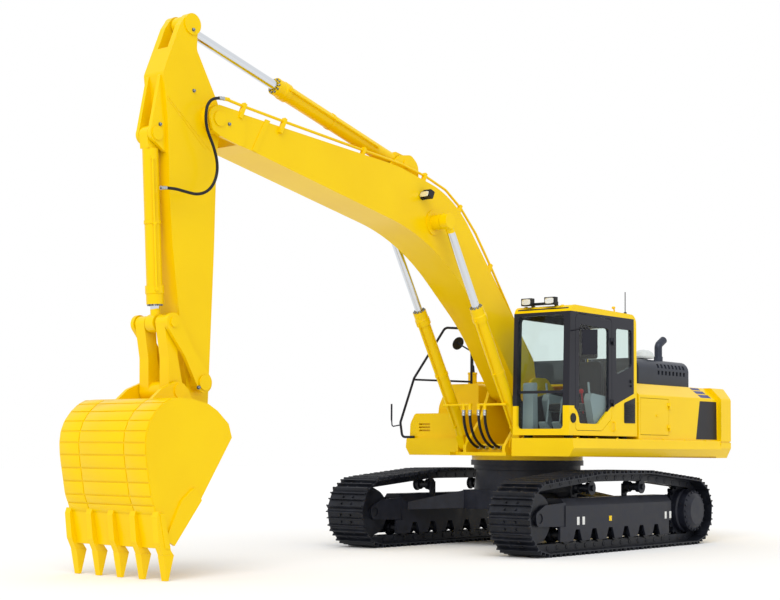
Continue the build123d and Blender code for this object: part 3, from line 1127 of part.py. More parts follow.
def arm_pins():
    swing_gap = 5
    return [capped_pin(BUCKET_CYLINDER_FOOT, CYLINDER_EAR_Y[1] + SEAT_GAP, CYLINDER_EAR_RADIUS - 22),
            capped_pin(ROCKER_PIN, ROCKER_Y[1] + swing_gap), capped_pin(BUCKET_PIN, BUCKET_EAR_Y[1] + swing_gap)]


def link_plate(low, high, start, end, start_radius, end_radius, middle_half):
    """A flat link between two pins, waisted between its round ends."""
    line = Vector(end[0] - start[0], end[1] - start[1])
    length = line.length
    angle = math.degrees(math.atan2(line.Y, line.X))
    waist = [(*from_local(start, angle, p[:2]), *p[2:]) for p in (
        (0, -start_radius), (length / 2, -middle_half, 200), (length, -end_radius), (length, end_radius),
        (length / 2, middle_half, 200), (0, start_radius))]
    return fuse(plate("y", low, high, waist), disc("y", low, high, start, start_radius),
                disc("y", low, high, end, end_radius))


def rocker_links():
    links = []
    for side in (-1, 1):
        low, high = sorted(side * y for y in ROCKER_Y)
        pin_low, pin_high = sorted((side * (ROCKER_Y[1] - 6), side * (ROCKER_Y[1] + 16)))
        piece = fuse(link_plate(low, high, ROCKER_PIN, LINK_PIN, 105, 95, 70),
                     disc("y", pin_low, pin_high, LINK_PIN, PIN_RADIUS))
        piece = piece.cut(disc("y", low - 1, high + 1, ROCKER_PIN, PIN_RADIUS + RUN_CLEAR))
        links.append(piece)
    return links


def bucket_link():
    legs = []
    for side in (-1, 1):
        low, high = sorted((side * 85, side * 222))
        legs.append(link_plate(low, high, EAR_PIN, LINK_PIN, 100, 80, 60))
    body = fuse(*legs, disc("y", -150, 150, EAR_PIN, 100))
    return body.cut(disc("y", -400, 400, EAR_PIN, PIN_RADIUS + RUN_CLEAR))


def bucket_shell():
    """Curved back and floor sheet between two side plates, with lip, ears and side cutters."""
    back = [Vector(*p) for p in BUCKET_BACK]
    outer = [(p.X, p.Y) for p in back]
    inner = []
    for i, p in enumerate(back):
        before = back[max(i - 1, 0)]
        after = back[min(i + 1, len(back) - 1)]
        run = (after - before).normalized()
        inner.append((p.X + run.Y * BUCKET_SKIN, p.Y - run.X * BUCKET_SKIN))
    sheet = plate("y", -BUCKET_HALF_WIDTH, BUCKET_HALF_WIDTH, bucket_points(outer + inner[::-1]))
    t = BUCKET_SIDE_THICKNESS
    side_profile = outer + [(880, -939), (745, -1180), (373, -783), (-47, -159), (0, -20)]
    pieces = [sheet]
    for s in (-1, 1):
        low, high = sorted((s * (BUCKET_HALF_WIDTH - t), s * BUCKET_HALF_WIDTH))
        pieces.append(plate("y", low, high, bucket_points(side_profile)))
        low, high = sorted((s * (BUCKET_HALF_WIDTH - 5), s * (BUCKET_HALF_WIDTH + 22)))
        pieces.append(plate("y", low, high, bucket_points((
            (373, -783), (724, -1215), (840, -1150, 40), (640, -780, 60), (458, -640, 40)))))
    lip = plate("y", -LIP_HALF_WIDTH, LIP_HALF_WIDTH, bucket_points((
        (885, -895), (941, -900), (868, -1235), (798, -1245))))
    pieces.append(lip)
    for s in (-1, 1):
        low, high = sorted(s * y for y in BUCKET_EAR_Y)
        pieces.append(plate("y", low, high, bucket_points((
            (-105, -60, 60), (60, -150, 60), (300, 60), (700, 215), (560, 330, 100), (330, 420, 100), (210, 330, 80),
            (100, 110, 60), (-60, 110, 80)))))
    solid = fuse(*pieces)
    for centre in (BUCKET_PIN, EAR_PIN):
        solid = solid.cut(disc("y", -600, 600, centre, PIN_RADIUS + RUN_CLEAR))
    return solid


def tooth_section(level, y, half):
    """A tooth's cross-section at one level: low and high x, and the height."""
    low, high, drop = level
    x, z = BUCKET_PIN
    return Wire.make_polygon([(x + high, y - half, z - drop), (x + high, y + half, z - drop),
                              (x + low, y + half, z - drop), (x + low, y - half, z - drop)], close=True)


def bucket_teeth():
    teeth = []
    for y in TEETH_Y:
        adapter = plate("y", y - 40, y + 40, bucket_points((
            (956, -875), (975, -930), (945, -1180), (885, -1300), (755, -1300), (797, -1245.6),
            (868.4, -1235.3), (941.4, -900.2))))
        tooth = Solid.make_loft([
            tooth_section(TOOTH_ROOT, y, 45),
            tooth_section(TOOTH_TIP, y, 36)], True)
        teeth.append(adapter)
        teeth.append(tooth)
    return teeth


def house():
    save("revolving_frame", revolving_frame())
    save("frame_pins", *frame_pins())
    save("cab_shell", cab_shell())
    save("cab_glass", *glass_panes())
    save("cab_mounts", *cab_mounts())
    door, pane = cab_door()
    save("cab_door", door)
    save("cab_door_glass", pane)
    base, cushion, back, head = seat()
    save("seat_base", base)
    save("seat_cushion", cushion)
    save("seat_back", back, head)
    save("cab_consoles", *cab_consoles())
    save("left_side_body", side_body(BODY_FRONT, *LEFT_DOOR_X))
    save("left_side_door", side_door(*LEFT_DOOR_X))
    save("radiator", radiator())
    save("right_side_body", side_body(RIGHT_BODY_FRONT, *RIGHT_DOOR_X).mirror(Plane.XZ))
    save("right_side_door", side_door(*RIGHT_DOOR_X).mirror(Plane.XZ))
    save("base_hoses", *[hose([(x, y, z) for x, z in BASE_HOSE_ROUTE], BASE_HOSE_RADIUS)
                         for side in (-1, 1) for y in (side * HOSE_ARM_Y[0], side * HOSE_ARM_Y[1])])
    save("hydraulic_tank", hydraulic_tank())
    save("fuel_tank", fuel_tank())
    save("toolbox", toolbox())
    save("engine_block", engine_block())
    save("hood_deck", hood_deck())
    save("engine_hood", engine_hood())
    save("counterweight", counterweight())
    small_fittings()


def front():
    boom_solid = boom()
    save("boom", boom_solid)
    save("boom_pins", *boom_pins())
    save("boom_pipes", *boom_pipes(boom_solid))
    save("boom_lamp", boom_lamp())
    barrels, rods = [], []
    for side in (-1, 1):
        barrel, rod = cylinder(BOOM_CYLINDER_BASE, BOOM_CYLINDER_EYE, side * BOOM_CYLINDER_Y, BOOM_CYLINDER)
        barrels += [barrel, hose_arm(side)]
        rods.append(rod)
    save("boom_cylinder_barrels", *barrels)
    save("boom_cylinder_rods", *rods)
    barrel, rod = cylinder(ARM_CYLINDER_FOOT, ARM_CYLINDER_EYE, 0, ARM_CYLINDER)
    save("arm_cylinder_barrel", barrel)
    save("arm_cylinder_rod", rod)
    save("arm", arm())
    save("arm_pins", *arm_pins())
    save("arm_hose", arm_hose())
    barrel, rod = cylinder(BUCKET_CYLINDER_FOOT, LINK_PIN, 0, BUCKET_CYLINDER)
    save("bucket_cylinder_barrel", barrel)
    save("bucket_cylinder_rod", rod)
    save("rocker_links", *rocker_links())
    save("bucket_link", bucket_link())
    save("bucket_shell", bucket_shell())
    save("bucket_teeth", *bucket_teeth())
    save("bucket_ear_pin", capped_pin(EAR_PIN, BUCKET_EAR_Y[1] + SEAT_GAP))


undercarriage()
house()
front()
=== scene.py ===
import math

import bmesh
import bpy
from bpy.props import FloatProperty, FloatVectorProperty, PointerProperty
from mathutils import Matrix, Vector


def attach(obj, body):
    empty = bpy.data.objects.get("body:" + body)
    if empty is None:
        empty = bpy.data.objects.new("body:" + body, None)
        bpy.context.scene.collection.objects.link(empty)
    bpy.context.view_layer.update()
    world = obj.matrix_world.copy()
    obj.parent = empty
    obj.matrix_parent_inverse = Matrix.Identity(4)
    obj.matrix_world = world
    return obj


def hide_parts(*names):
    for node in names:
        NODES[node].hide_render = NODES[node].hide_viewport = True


bl_info = {
    "name": "Crawler Excavator Dressing",
    "version": (1, 0, 0),
    "blender": (4, 5, 0),
    "location": "View3D > Sidebar > Excavator",
    "description": "Finishes and small pieces for a tracked excavator",
    "category": "Object",
}

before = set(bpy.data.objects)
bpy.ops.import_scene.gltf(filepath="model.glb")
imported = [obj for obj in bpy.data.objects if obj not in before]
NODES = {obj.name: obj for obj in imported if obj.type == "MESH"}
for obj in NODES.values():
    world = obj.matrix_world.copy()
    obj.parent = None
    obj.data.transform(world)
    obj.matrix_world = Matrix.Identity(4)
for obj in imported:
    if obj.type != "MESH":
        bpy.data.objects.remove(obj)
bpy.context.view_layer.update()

# Places shared with the solids, in metres
BOOM_FOOT = Vector((0.200, 0, 2.060))
BOOM_ANGLE = math.radians(24.36)
BOOM_LENGTH = 6.470
ARM_ANGLE = math.radians(-86.78)
ARM_LENGTH = 3.185
ARM_PIN = BOOM_FOOT + BOOM_LENGTH * Vector((math.cos(BOOM_ANGLE), 0, math.sin(BOOM_ANGLE)))
BUCKET_PIN = ARM_PIN + ARM_LENGTH * Vector((math.cos(ARM_ANGLE), 0, math.sin(ARM_ANGLE)))
BODY_LEFT = 1.430
BODY_FOLD = 2.035
BODY_TOP = 2.200
BODY_SLOPE = 0.210
CAB_LEFT = 1.416
GAUGE = 2.590
TUMBLER_DISTANCE = 3.700
SHOES = 45
PITCH_RADIUS = 0.366
PIN_HEIGHT = 0.096
TOP_RUN_RISE = 0.108
TOP_RUN_FLAT = 1.200
SHOE_FACE = 0.060
RAIL_FACE_Y = (0.060, 0.105)

# Cylinders: body, foot, eye, distance from the middle, barrel's share, ring of bolts
CYLINDERS = (
    ("boom_cylinder_barrels", (0.791, 1.375), (2.411, 4.082), (0.455, -0.455), 0.625, 0.070),
    ("arm_cylinder_barrel", (2.829, 4.766), (6.386, 5.687), (0.0,), 0.608, 0.078),
    ("bucket_cylinder_barrel", (6.809, 4.473), (6.691, 2.550), (0.0,), 0.900, 0.070))

# Routes of the hoses, the same points as the solids', and their distances from the middle
ARM_HOSE = (
    (6.075, 4.936), (6.210, 4.928), (6.313, 4.838), (6.335, 4.700), (6.312, 4.566), (6.210, 4.406),
    (6.149, 4.226), (6.175, 4.065), (6.272, 3.936), (6.425, 3.874), (6.590, 3.882), (6.767, 3.898),
    (6.927, 3.876))
ARM_HOSE_Y = 0.314
BASE_HOSE = (
    (1.215, 1.800), (1.215, 1.700), (1.192, 1.590), (1.140, 1.480), (1.058, 1.392), (0.957, 1.332),
    (0.872, 1.314), (0.822, 1.314))
BASE_HOSE_Y = (0.070, 0.170, -0.070, -0.170)

# Where the cab's two colours meet, in metres
SWEEP = (-0.334, 1.897)
DOOR_FOOT_RISE = (-0.727, 1.961)
DOOR_FOOT = 1.636
DOOR_BACK = 0.16
PLUG_ARC = (1.128, 1.629)
PLUG_ARC_SQUARED = 0.046
FRONT_PILLAR = 1.03
FRONT_SILL = 1.845
ROOF_RIM = 3.03
REAR_EDGE = -0.425
CAB_ROOM = ((-0.470, 1.105), (0.603, 1.375), 3.08)

# Light, and the floor's reach
KEY_DIRECTION = (-0.62, -0.40, -0.68)
KEY_SPREAD = math.radians(45)
WORLD_LEVEL = 0.80
FLOOR_HALF = 60.0

# Bucket's back sheet round its wear plates, from the bucket pin
BUCKET_ROWS = (
    (0.770, 0.212), (0.870, 0.165), (0.965, 0.085), (1.039, -0.010), (1.080, -0.110), (1.093, -0.220),
    (1.085, -0.340), (1.062, -0.470), (1.037, -0.602), (1.011, -0.735), (0.975, -0.821), (0.938, -0.908))
BUCKET_COLUMNS = ((-0.645, -0.345), (-0.331, 0.331), (0.345, 0.645))

# The camera, found from the photograph's straight edges
EYE = Vector((16.970, 11.621, 1.284))
GAZE = Vector((-0.77585, -0.62861, 0.05397)).normalized()
ROLL = math.radians(0.4005)
CENTRE_PIXEL = (406.14, 367.96)
PICTURE = (780, 600)
SENSOR = 36.0


def linear(code, alpha=1.0):
    """An sRGB hex colour as the linear values that a shader takes."""
    parts = [int(code[i:i + 2], 16) / 255 for i in (1, 3, 5)]
    return tuple(p / 12.92 if p <= 0.04045 else ((p + 0.055) / 1.055) ** 2.4 for p in parts) + (alpha,)


def add(tree, kind, inputs=None, **settings):
    """A node with its settings; an input is a value, or another node's socket to link."""
    node = tree.nodes.new(kind)
    for name, value in settings.items():
        setattr(node, name, value)
    for name, value in (inputs or {}).items():
        if isinstance(value, bpy.types.NodeSocket):
            tree.links.new(value, node.inputs[name])
        else:
            node.inputs[name].default_value = value
    return node


def new_material(name):
    material = bpy.data.materials.new(name)
    material.use_nodes = True
    tree = material.node_tree
    tree.nodes.clear()
    return material, tree


def close_material(tree, shader):
    add(tree, "ShaderNodeOutputMaterial", {"Surface": shader})


def noise(tree, millimetres, detail=3.0, rough=0.5):
    """Noise in the object's own metres, one patch about as wide as stated."""
    place = add(tree, "ShaderNodeTexCoord")
    return add(tree, "ShaderNodeTexNoise", {
        "Vector": place.outputs["Object"], "Scale": 1000.0 / millimetres,
        "Detail": detail, "Roughness": rough})


def bump(tree, height, strength, millimetres):
    """A height turned into a normal; its depth is in millimetres."""
    return add(tree, "ShaderNodeBump", {
        "Height": height, "Strength": strength, "Distance": millimetres / 1000.0}).outputs["Normal"]


def orange_peel(tree):
    """The faint waves of sprayed paint, 1 to 2 mm wide on the real machine and drawn 14 mm wide to show."""
    return bump(tree, noise(tree, 14, 1.0).outputs["Fac"], 0.12, 0.6)


def shade_mix(tree, factor, low, high):
    """Two colours mixed by a factor, as a colour socket."""
    node = add(tree, "ShaderNodeMix", data_type="RGBA")
    tree.links.new(factor, node.inputs[0])
    for index, colour in ((6, low), (7, high)):
        if isinstance(colour, bpy.types.NodeSocket):
            tree.links.new(colour, node.inputs[index])
        else:
            node.inputs[index].default_value = colour
    return node.outputs[2]


def ramp(tree, factor, start, end, low=0.0, high=1.0):
    """A value rising from low to high while the factor goes from start to end."""
    return add(tree, "ShaderNodeMapRange", {
        "Value": factor, "From Min": start, "From Max": end, "To Min": low, "To Max": high}).outputs["Result"]


def enamel(name, colour, shade, roughness=0.3, coat=0.06, specular=0.14):
    """Sprayed enamel on steel: even colour with slow clouds, faint orange peel and a soft gloss."""
    material, tree = new_material(name)
    cloud = noise(tree, 700, 4.0)
    base = shade_mix(tree, ramp(tree, cloud.outputs["Fac"], 0.35, 0.7), colour, shade)
    shader = add(tree, "ShaderNodeBsdfPrincipled", {
        "Base Color": base, "Roughness": roughness, "IOR": 1.5, "Specular IOR Level": specular,
        "Coat Weight": coat, "Coat Roughness": 0.12, "Normal": orange_peel(tree)})
    close_material(tree, shader.outputs["BSDF"])
    return material


def cab_enamel(name, yellow, dark):
    """Two-tone sprayed enamel: dark pillars and door, yellow roof rim, rear edge, sills and sweep."""
    material, tree = new_material(name)
    place = add(tree, "ShaderNodeTexCoord").outputs["Object"]
    parts = add(tree, "ShaderNodeSeparateXYZ", {"Vector": place})
    x, y, z = (parts.outputs[axis] for axis in "XYZ")

    def test(operation, *values):
        return add(tree, "ShaderNodeMath", dict(enumerate(values)), operation=operation).outputs[0]

    def over(value, level):
        return test("GREATER_THAN", value, level)

    def under(value, level):
        return test("LESS_THAN", value, level)

    def together(first, *others):
        for other in others:
            first = test("MULTIPLY", first, other)
        return first

    def choose(share, here, elsewhere):
        return test("ADD", together(share, here), together(test("SUBTRACT", 1.0, share), elsewhere))

    # the sweep rises rearward behind the door
    over_sweep = over(z, test("MULTIPLY_ADD", x, *SWEEP))
    # the door's foot is level, rises rearward to the sweep, and is cut by an arc round the pillar's plug
    across, down = test("SUBTRACT", x, PLUG_ARC[0]), test("SUBTRACT", z, PLUG_ARC[1])
    arc = test("ADD", test("MULTIPLY", across, across), test("MULTIPLY", down, down))
    over_foot = together(over(z, DOOR_FOOT), over(z, test("MULTIPLY_ADD", x, *DOOR_FOOT_RISE)))
    over_door_foot = together(over_foot, over(arc, PLUG_ARC_SQUARED))
    side = choose(under(x, DOOR_BACK), over_sweep, over_door_foot)
    face = choose(over(x, FRONT_PILLAR), over(z, FRONT_SILL), side)
    outer = together(face, under(z, ROOF_RIM), over(x, REAR_EDGE))
    (back, front), (right, left), ceiling = CAB_ROOM
    inside = together(under(x, front), over(x, back), under(y, left), over(y, right), under(z, ceiling))
    base = shade_mix(tree, test("MAXIMUM", outer, inside), yellow, dark)
    shader = add(tree, "ShaderNodeBsdfPrincipled", {
        "Base Color": base, "Roughness": 0.32, "IOR": 1.5, "Specular IOR Level": 0.14, "Coat Weight": 0.05,
        "Coat Roughness": 0.15, "Normal": orange_peel(tree)})
    close_material(tree, shader.outputs["BSDF"])
    return material


def dusty_steel(name, colour, dust, roughness=0.5, metallic=0.0, grain=9.0):
    """Cast or rolled steel under dark paint: pitted skin, pale dust in slow random clouds."""
    material, tree = new_material(name)
    cloud = noise(tree, 160, 5.0, 0.6)
    base = shade_mix(tree, ramp(tree, cloud.outputs["Fac"], 0.42, 0.75), linear(colour), linear(dust))
    skin = noise(tree, grain, 4.0, 0.65)
    rough = ramp(tree, cloud.outputs["Fac"], 0.3, 0.7, roughness - 0.08, roughness + 0.14)
    shader = add(tree, "ShaderNodeBsdfPrincipled", {
        "Base Color": base, "Roughness": rough, "Metallic": metallic, "IOR": 1.5, "Specular IOR Level": 0.25,
        "Normal": bump(tree, skin.outputs["Fac"], 0.35, 1.2)})
    close_material(tree, shader.outputs["BSDF"])
    return material


def ground_metal(name, colour, roughness, ring=0.0):
    """Ground or chromed steel: clear reflections, a fine bumped grain where stated."""
    material, tree = new_material(name)
    fine = noise(tree, 6, 2.0)
    inputs = {"Base Color": linear(colour), "Metallic": 1.0,
              "Roughness": ramp(tree, fine.outputs["Fac"], 0.3, 0.7, roughness * 0.8, roughness * 1.25)}
    if ring:
        inputs["Normal"] = bump(tree, fine.outputs["Fac"], ring, 0.4)
    shader = add(tree, "ShaderNodeBsdfPrincipled", inputs)
    close_material(tree, shader.outputs["BSDF"])
    return material


def moulded(name, colour, roughness, grain_mm=3.0, strength=0.25, ior=1.5):
    """Moulded plastic or rubber: matte, with a fine leather-like grain."""
    material, tree = new_material(name)
    grain = noise(tree, grain_mm, 2.0, 0.7)
    shader = add(tree, "ShaderNodeBsdfPrincipled", {
        "Base Color": linear(colour), "Roughness": roughness, "IOR": ior, "Specular IOR Level": 0.3,
        "Normal": bump(tree, grain.outputs["Fac"], strength, 0.5)})
    close_material(tree, shader.outputs["BSDF"])
    return material


def woven(name, colour, thread):
    """Woven seat cloth: crossing threads that catch the light, drawn coarser than the real 1 mm to show."""
    material, tree = new_material(name)
    place = add(tree, "ShaderNodeTexCoord").outputs["Object"]
    waves = [add(tree, "ShaderNodeTexWave", {"Vector": place, "Scale": 60.0, "Distortion": 0.4},
                 bands_direction=axis).outputs["Fac"] for axis in ("Y", "Z")]
    weave = add(tree, "ShaderNodeMath", {0: waves[0], 1: waves[1]}, operation="MULTIPLY").outputs[0]
    base = shade_mix(tree, weave, linear(colour), linear(thread))
    shader = add(tree, "ShaderNodeBsdfPrincipled", {
        "Base Color": base, "Roughness": 0.85, "Sheen Weight": 0.3,
        "Normal": bump(tree, weave, 0.4, 0.8)})
    close_material(tree, shader.outputs["BSDF"])
    return material


def pane_glass(name, colour):
    """Toughened sheet glass: clear with a faint cool tint and sharp reflections from its outer faces only."""
    material, tree = new_material(name)
    clear = add(tree, "ShaderNodeBsdfTransparent", {"Color": linear(colour)})
    gloss = add(tree, "ShaderNodeBsdfGlossy", {"Color": linear("#FFFFFF"), "Roughness": 0.02})
    fresnel = add(tree, "ShaderNodeFresnel", {"IOR": 1.30})
    face = add(tree, "ShaderNodeNewGeometry")
    front = add(tree, "ShaderNodeMath", {0: 1.0, 1: face.outputs["Backfacing"]}, operation="SUBTRACT")
    share = add(tree, "ShaderNodeMath", {
        0: fresnel.outputs["Fac"], 1: front.outputs[0]}, operation="MULTIPLY")
    shader = add(tree, "ShaderNodeMixShader", {
        0: share.outputs[0], 1: clear.outputs["BSDF"], 2: gloss.outputs["BSDF"]})
    close_material(tree, shader.outputs["Shader"])
    return material


def rod_finish(name, colour, eye, reach):
    """Hard chrome on a ground rod, and sprayed enamel on its forged eye, told apart by the eye's centre."""
    material, tree = new_material(name)
    place = add(tree, "ShaderNodeTexCoord").outputs["Object"]
    flat = add(tree, "ShaderNodeVectorMath", {0: place, 1: (1.0, 0.0, 1.0)}, operation="MULTIPLY")
    near = add(tree, "ShaderNodeVectorMath", {0: flat.outputs["Vector"], 1: eye}, operation="DISTANCE")
    on_rod = add(tree, "ShaderNodeMath", {0: near.outputs["Value"], 1: reach}, operation="GREATER_THAN")
    fine = noise(tree, 6, 2.0)
    chrome = add(tree, "ShaderNodeBsdfPrincipled", {
        "Base Color": linear("#D5D9DE"), "Metallic": 1.0,
        "Roughness": ramp(tree, fine.outputs["Fac"], 0.3, 0.7, 0.07, 0.12)})
    paint = add(tree, "ShaderNodeBsdfPrincipled", {
        "Base Color": colour, "Roughness": 0.3, "Specular IOR Level": 0.14, "Coat Weight": 0.06,
        "Coat Roughness": 0.12, "Normal": orange_peel(tree)})
    shader = add(tree, "ShaderNodeMixShader", {
        0: on_rod.outputs[0], 1: paint.outputs["BSDF"], 2: chrome.outputs["BSDF"]})
    close_material(tree, shader.outputs["Shader"])
    return material


def lamp_glass(name):
    """Lamp lens: pressed clear glass over a bright reflector, seen as pale silver with flutes."""
    material, tree = new_material(name)
    place = add(tree, "ShaderNodeTexCoord").outputs["Object"]
    flutes = add(tree, "ShaderNodeTexWave", {
        "Vector": place, "Scale": 22.0}, bands_direction="Y").outputs["Fac"]
    shader = add(tree, "ShaderNodeBsdfPrincipled", {
        "Base Color": linear("#E6E8E4"), "Roughness": 0.12, "Metallic": 0.55, "Coat Weight": 1.0,
        "Coat Roughness": 0.03, "Normal": bump(tree, flutes, 0.5, 1.5)})
    close_material(tree, shader.outputs["BSDF"])
    return material


MATERIALS = {}


def make_materials():
    """Every finish, by its plain name."""
    colours = bpy.context.scene.excavator_colours
    body, dark, hood = ((*getattr(colours, name), 1.0) for name in ("body", "cab", "hood"))
    MATERIALS.update({
        # warm yellow that stays even from end to end, with a soft gloss
        "yellow": enamel("yellow_enamel_on_steel", body, linear("#EEC500")),
        # the same yellow beside a near-black grey, parted by clean lines
        "cab": cab_enamel("two_tone_cab_enamel", body, dark),
        # near-black grey with a slightly softer gloss
        "dark": enamel("dark_grey_enamel", dark, linear("#202129"), 0.34),
        # bluish grey, a step lighter than the cab
        "hood": enamel("hood_grey_enamel", hood, linear("#31353F"), 0.36),
        # black paint over cast steel, greyed by dust
        "frame": dusty_steel("undercarriage_black_paint", "#1A1C25", "#262934", 0.40, 0.0, 18.0),
        # bare rolled steel, dark, with a dull metal sheen
        "track": dusty_steel("rolled_track_steel", "#171920", "#272A33", 0.36, 0.15, 12.0),
        # mirror-bright rods that end in yellow eyes
        "boom_rod": rod_finish("boom_rod_chrome_and_enamel", body, (2.411, 0, 4.082), 0.155),
        "arm_rod": rod_finish("arm_rod_chrome_and_enamel", body, (6.386, 0, 5.687), 0.165),
        "bucket_rod": rod_finish("bucket_rod_chrome_and_enamel", body, (6.691, 0, 2.550), 0.150),
        # blue-grey steel, dulled by heat
        "exhaust": dusty_steel("heat_dulled_exhaust_steel", "#333844", "#424854", 0.45, 0.3, 10.0),
        # matte black with a fine grain
        "rubber": moulded("black_hose_rubber", "#0E0F13", 0.5, 4.0, 0.3, 1.52),
        "plastic": moulded("dark_moulded_plastic", "#141519", 0.5),
        # pale blue-grey, seen through the panes
        "console": moulded("grey_console_plastic", "#8C979C", 0.55),
        # pale dome that takes a soft highlight
        "pale": moulded("pale_moulded_dome", "#C9CFCE", 0.35, 3.0, 0.1),
        # dark cloth without gloss
        "cloth": woven("woven_seat_cloth", "#17181C", "#1E1F23"),
        # nearly clear, with a cool tint and sharp reflections
        "glass": pane_glass("toughened_window_glass", "#F3F8F7"),
        # bright fluted lenses
        "lens": lamp_glass("pressed_lamp_glass"),
        # smooth films on the paint
        "blue": enamel("blue_stripe_film", linear("#22357E"), linear("#203076"), 0.35),
        "panel": enamel("dark_panel_film", linear("#232329"), linear("#1F1F24"), 0.4),
        # dull grey fins and castings inside the body
        "core": ground_metal("cooler_fin_aluminium", "#6E7276", 0.45, 0.3),
        # small cool glints
        "bolt": ground_metal("zinc_plated_bolt_steel", "#7C8490", 0.32, 0.2),
        "silver": ground_metal("crimped_hose_ferrule", "#B4B8BC", 0.28, 0.3),
        # white that stands out on the black frames
        "white": enamel("white_reflector_plate", linear("#E6E7E4"), linear("#DCDDDA"), 0.35, 0.2),
        # one red grip in the cab
        "red": moulded("red_lever_plastic", "#B4161E", 0.4, 3.0, 0.15),
    })


# Which finish each modelled part has
LOOK = {
    "yellow": ("boom", "arm", "boom_cylinder_barrels", "arm_cylinder_barrel", "bucket_cylinder_barrel",
               "rocker_links", "bucket_link", "bucket_shell", "bucket_teeth", "left_side_body",
               "right_side_body", "left_side_door", "right_side_door", "hydraulic_tank", "fuel_tank",
               "toolbox", "hood_deck", "counterweight", "revolving_frame", "boom_pipes", "boom_pins",
               "arm_pins", "bucket_ear_pin", "frame_pins"),
    "cab": ("cab_shell", "cab_door"),
    "dark": ("handrail", "mirrors", "seat_base"),
    "hood": ("engine_hood",),
    "frame": ("centre_frame", "track_frames", "roller_guards", "final_drives", "slew_ring"),
    "track": ("track_left", "track_right", "track_rollers", "idlers", "sprockets"),
    "boom_rod": ("boom_cylinder_rods",),
    "arm_rod": ("arm_cylinder_rod",),
    "bucket_rod": ("bucket_cylinder_rod",),
    "exhaust": ("exhaust_pipe",),
    "rubber": ("cab_mounts", "arm_hose", "base_hoses"),
    "plastic": ("cab_lamps", "cab_antenna", "boom_lamp"),
    "console": ("cab_consoles",),
    "pale": ("air_precleaner",),
    "glass": ("cab_glass", "cab_door_glass"),
    "core": ("radiator", "engine_block"),
    "cloth": ("seat_cushion", "seat_back"),
}


def finish_nodes():
    """Gives each modelled part its finish."""
    for look, names in LOOK.items():
        for name in names:
            if name in NODES:
                NODES[name].data.materials.clear()
                NODES[name].data.materials.append(MATERIALS[look])


# Mesh code

def prism(shape, outline, rise, bevel=0.0):
    """A closed outline pushed along a vector, with rounded edges."""
    rise = Vector(rise)
    base = [shape.verts.new(point) for point in outline]
    top = [shape.verts.new(Vector(point) + rise) for point in outline]
    count = len(base)
    faces = [shape.faces.new(base[::-1]), shape.faces.new(top)]
    for i in range(count):
        j = (i + 1) % count
        faces.append(shape.faces.new((base[i], base[j], top[j], top[i])))
    if bevel:
        edges = list({edge for face in faces for edge in face.edges})
        bmesh.ops.bevel(shape, geom=edges, offset=bevel, segments=2, profile=0.5, affect="EDGES")


def ring(shape, centre, side, other, radius, steps):
    """One ring of points round a centre."""
    turns = [2 * math.pi * i / steps for i in range(steps)]
    return [shape.verts.new(centre + (side * math.cos(a) + other * math.sin(a)) * radius) for a in turns]


def skin(shape, rings):
    """Faces between rings, and a cap at each end."""
    steps = len(rings[0])
    for low, high in zip(rings, rings[1:]):
        for i in range(steps):
            j = (i + 1) % steps
            shape.faces.new((low[i], low[j], high[j], high[i]))
    shape.faces.new(rings[0][::-1])
    shape.faces.new(rings[-1])


def turned(shape, base, axis, profile, steps=24):
    """A profile of distance and radius turned round an axis."""
    axis = Vector(axis).normalized()
    side = axis.orthogonal().normalized()
    other = axis.cross(side)
    skin(shape, [ring(shape, Vector(base) + axis * along, side, other, radius, steps)
                 for along, radius in profile])


def bolt(shape, place, axis, across):
    """A hexagon head on its washer; across is the width over the flats."""
    axis = Vector(axis).normalized()
    place = Vector(place)
    washer = ((0, across * 0.72), (0.002 + across * 0.12, across * 0.70))
    head = ((0, across * 0.57), (across * 0.5, across * 0.57), (across * 0.62, across * 0.45))
    turned(shape, place - axis * 0.002, axis, washer, 12)
    turned(shape, place + axis * across * 0.12, axis, head, 6)


def tube(shape, points, radius, steps=10):
    """A round bar along points, its frame carried without twist."""
    points = [Vector(point) for point in points]
    side = None
    rings = []
    for i, point in enumerate(points):
        run = (points[min(i + 1, len(points) - 1)] - points[max(i - 1, 0)]).normalized()
        side = run.orthogonal() if side is None else side - run * side.dot(run)
        side = side.normalized()
        rings.append(ring(shape, point, side, run.cross(side), radius, steps))
    skin(shape, rings)


def lens_outline(centre, side, rise, wide, high, steps=32):
    """A rounded rectangle round a centre, half as wide and half as high as stated."""
    outline = []
    for i in range(steps):
        turn = 2 * math.pi * i / steps
        c, s = math.cos(turn), math.sin(turn)
        k = (abs(c) ** 5 + abs(s) ** 5) ** 0.2
        outline.append(Vector(centre) + Vector(side) * (wide * c / k) + Vector(rise) * (high * s / k))
    return outline


def size(name):
    """A size that the user may change, in metres."""
    return round(getattr(bpy.context.scene.excavator_sizes, name), 6)


def piece(name, look, body, build, sharp=35):
    """A piece from mesh code that rides on a body."""
    shape = bmesh.new()
    build(shape)
    bmesh.ops.recalc_face_normals(shape, faces=shape.faces)
    mesh = bpy.data.meshes.new(name)
    shape.to_mesh(mesh)
    shape.free()
    mesh.materials.append(MATERIALS[look])
    mesh.polygons.foreach_set("use_smooth", [True] * len(mesh.polygons))
    mesh.set_sharp_from_angle(angle=math.radians(sharp))
    thing = bpy.data.objects.new(name, mesh)
    bpy.context.scene.collection.objects.link(thing)
    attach(thing, body)
    return thing


def cast(node, origin, direction):
    """Where a ray meets a modelled part, and the surface's normal there."""
    found, place, normal, _ = NODES[node].ray_cast(Vector(origin), Vector(direction).normalized())
    if not found:
        raise RuntimeError(f"no surface of {node} on the ray from {tuple(origin)}")
    return place, normal


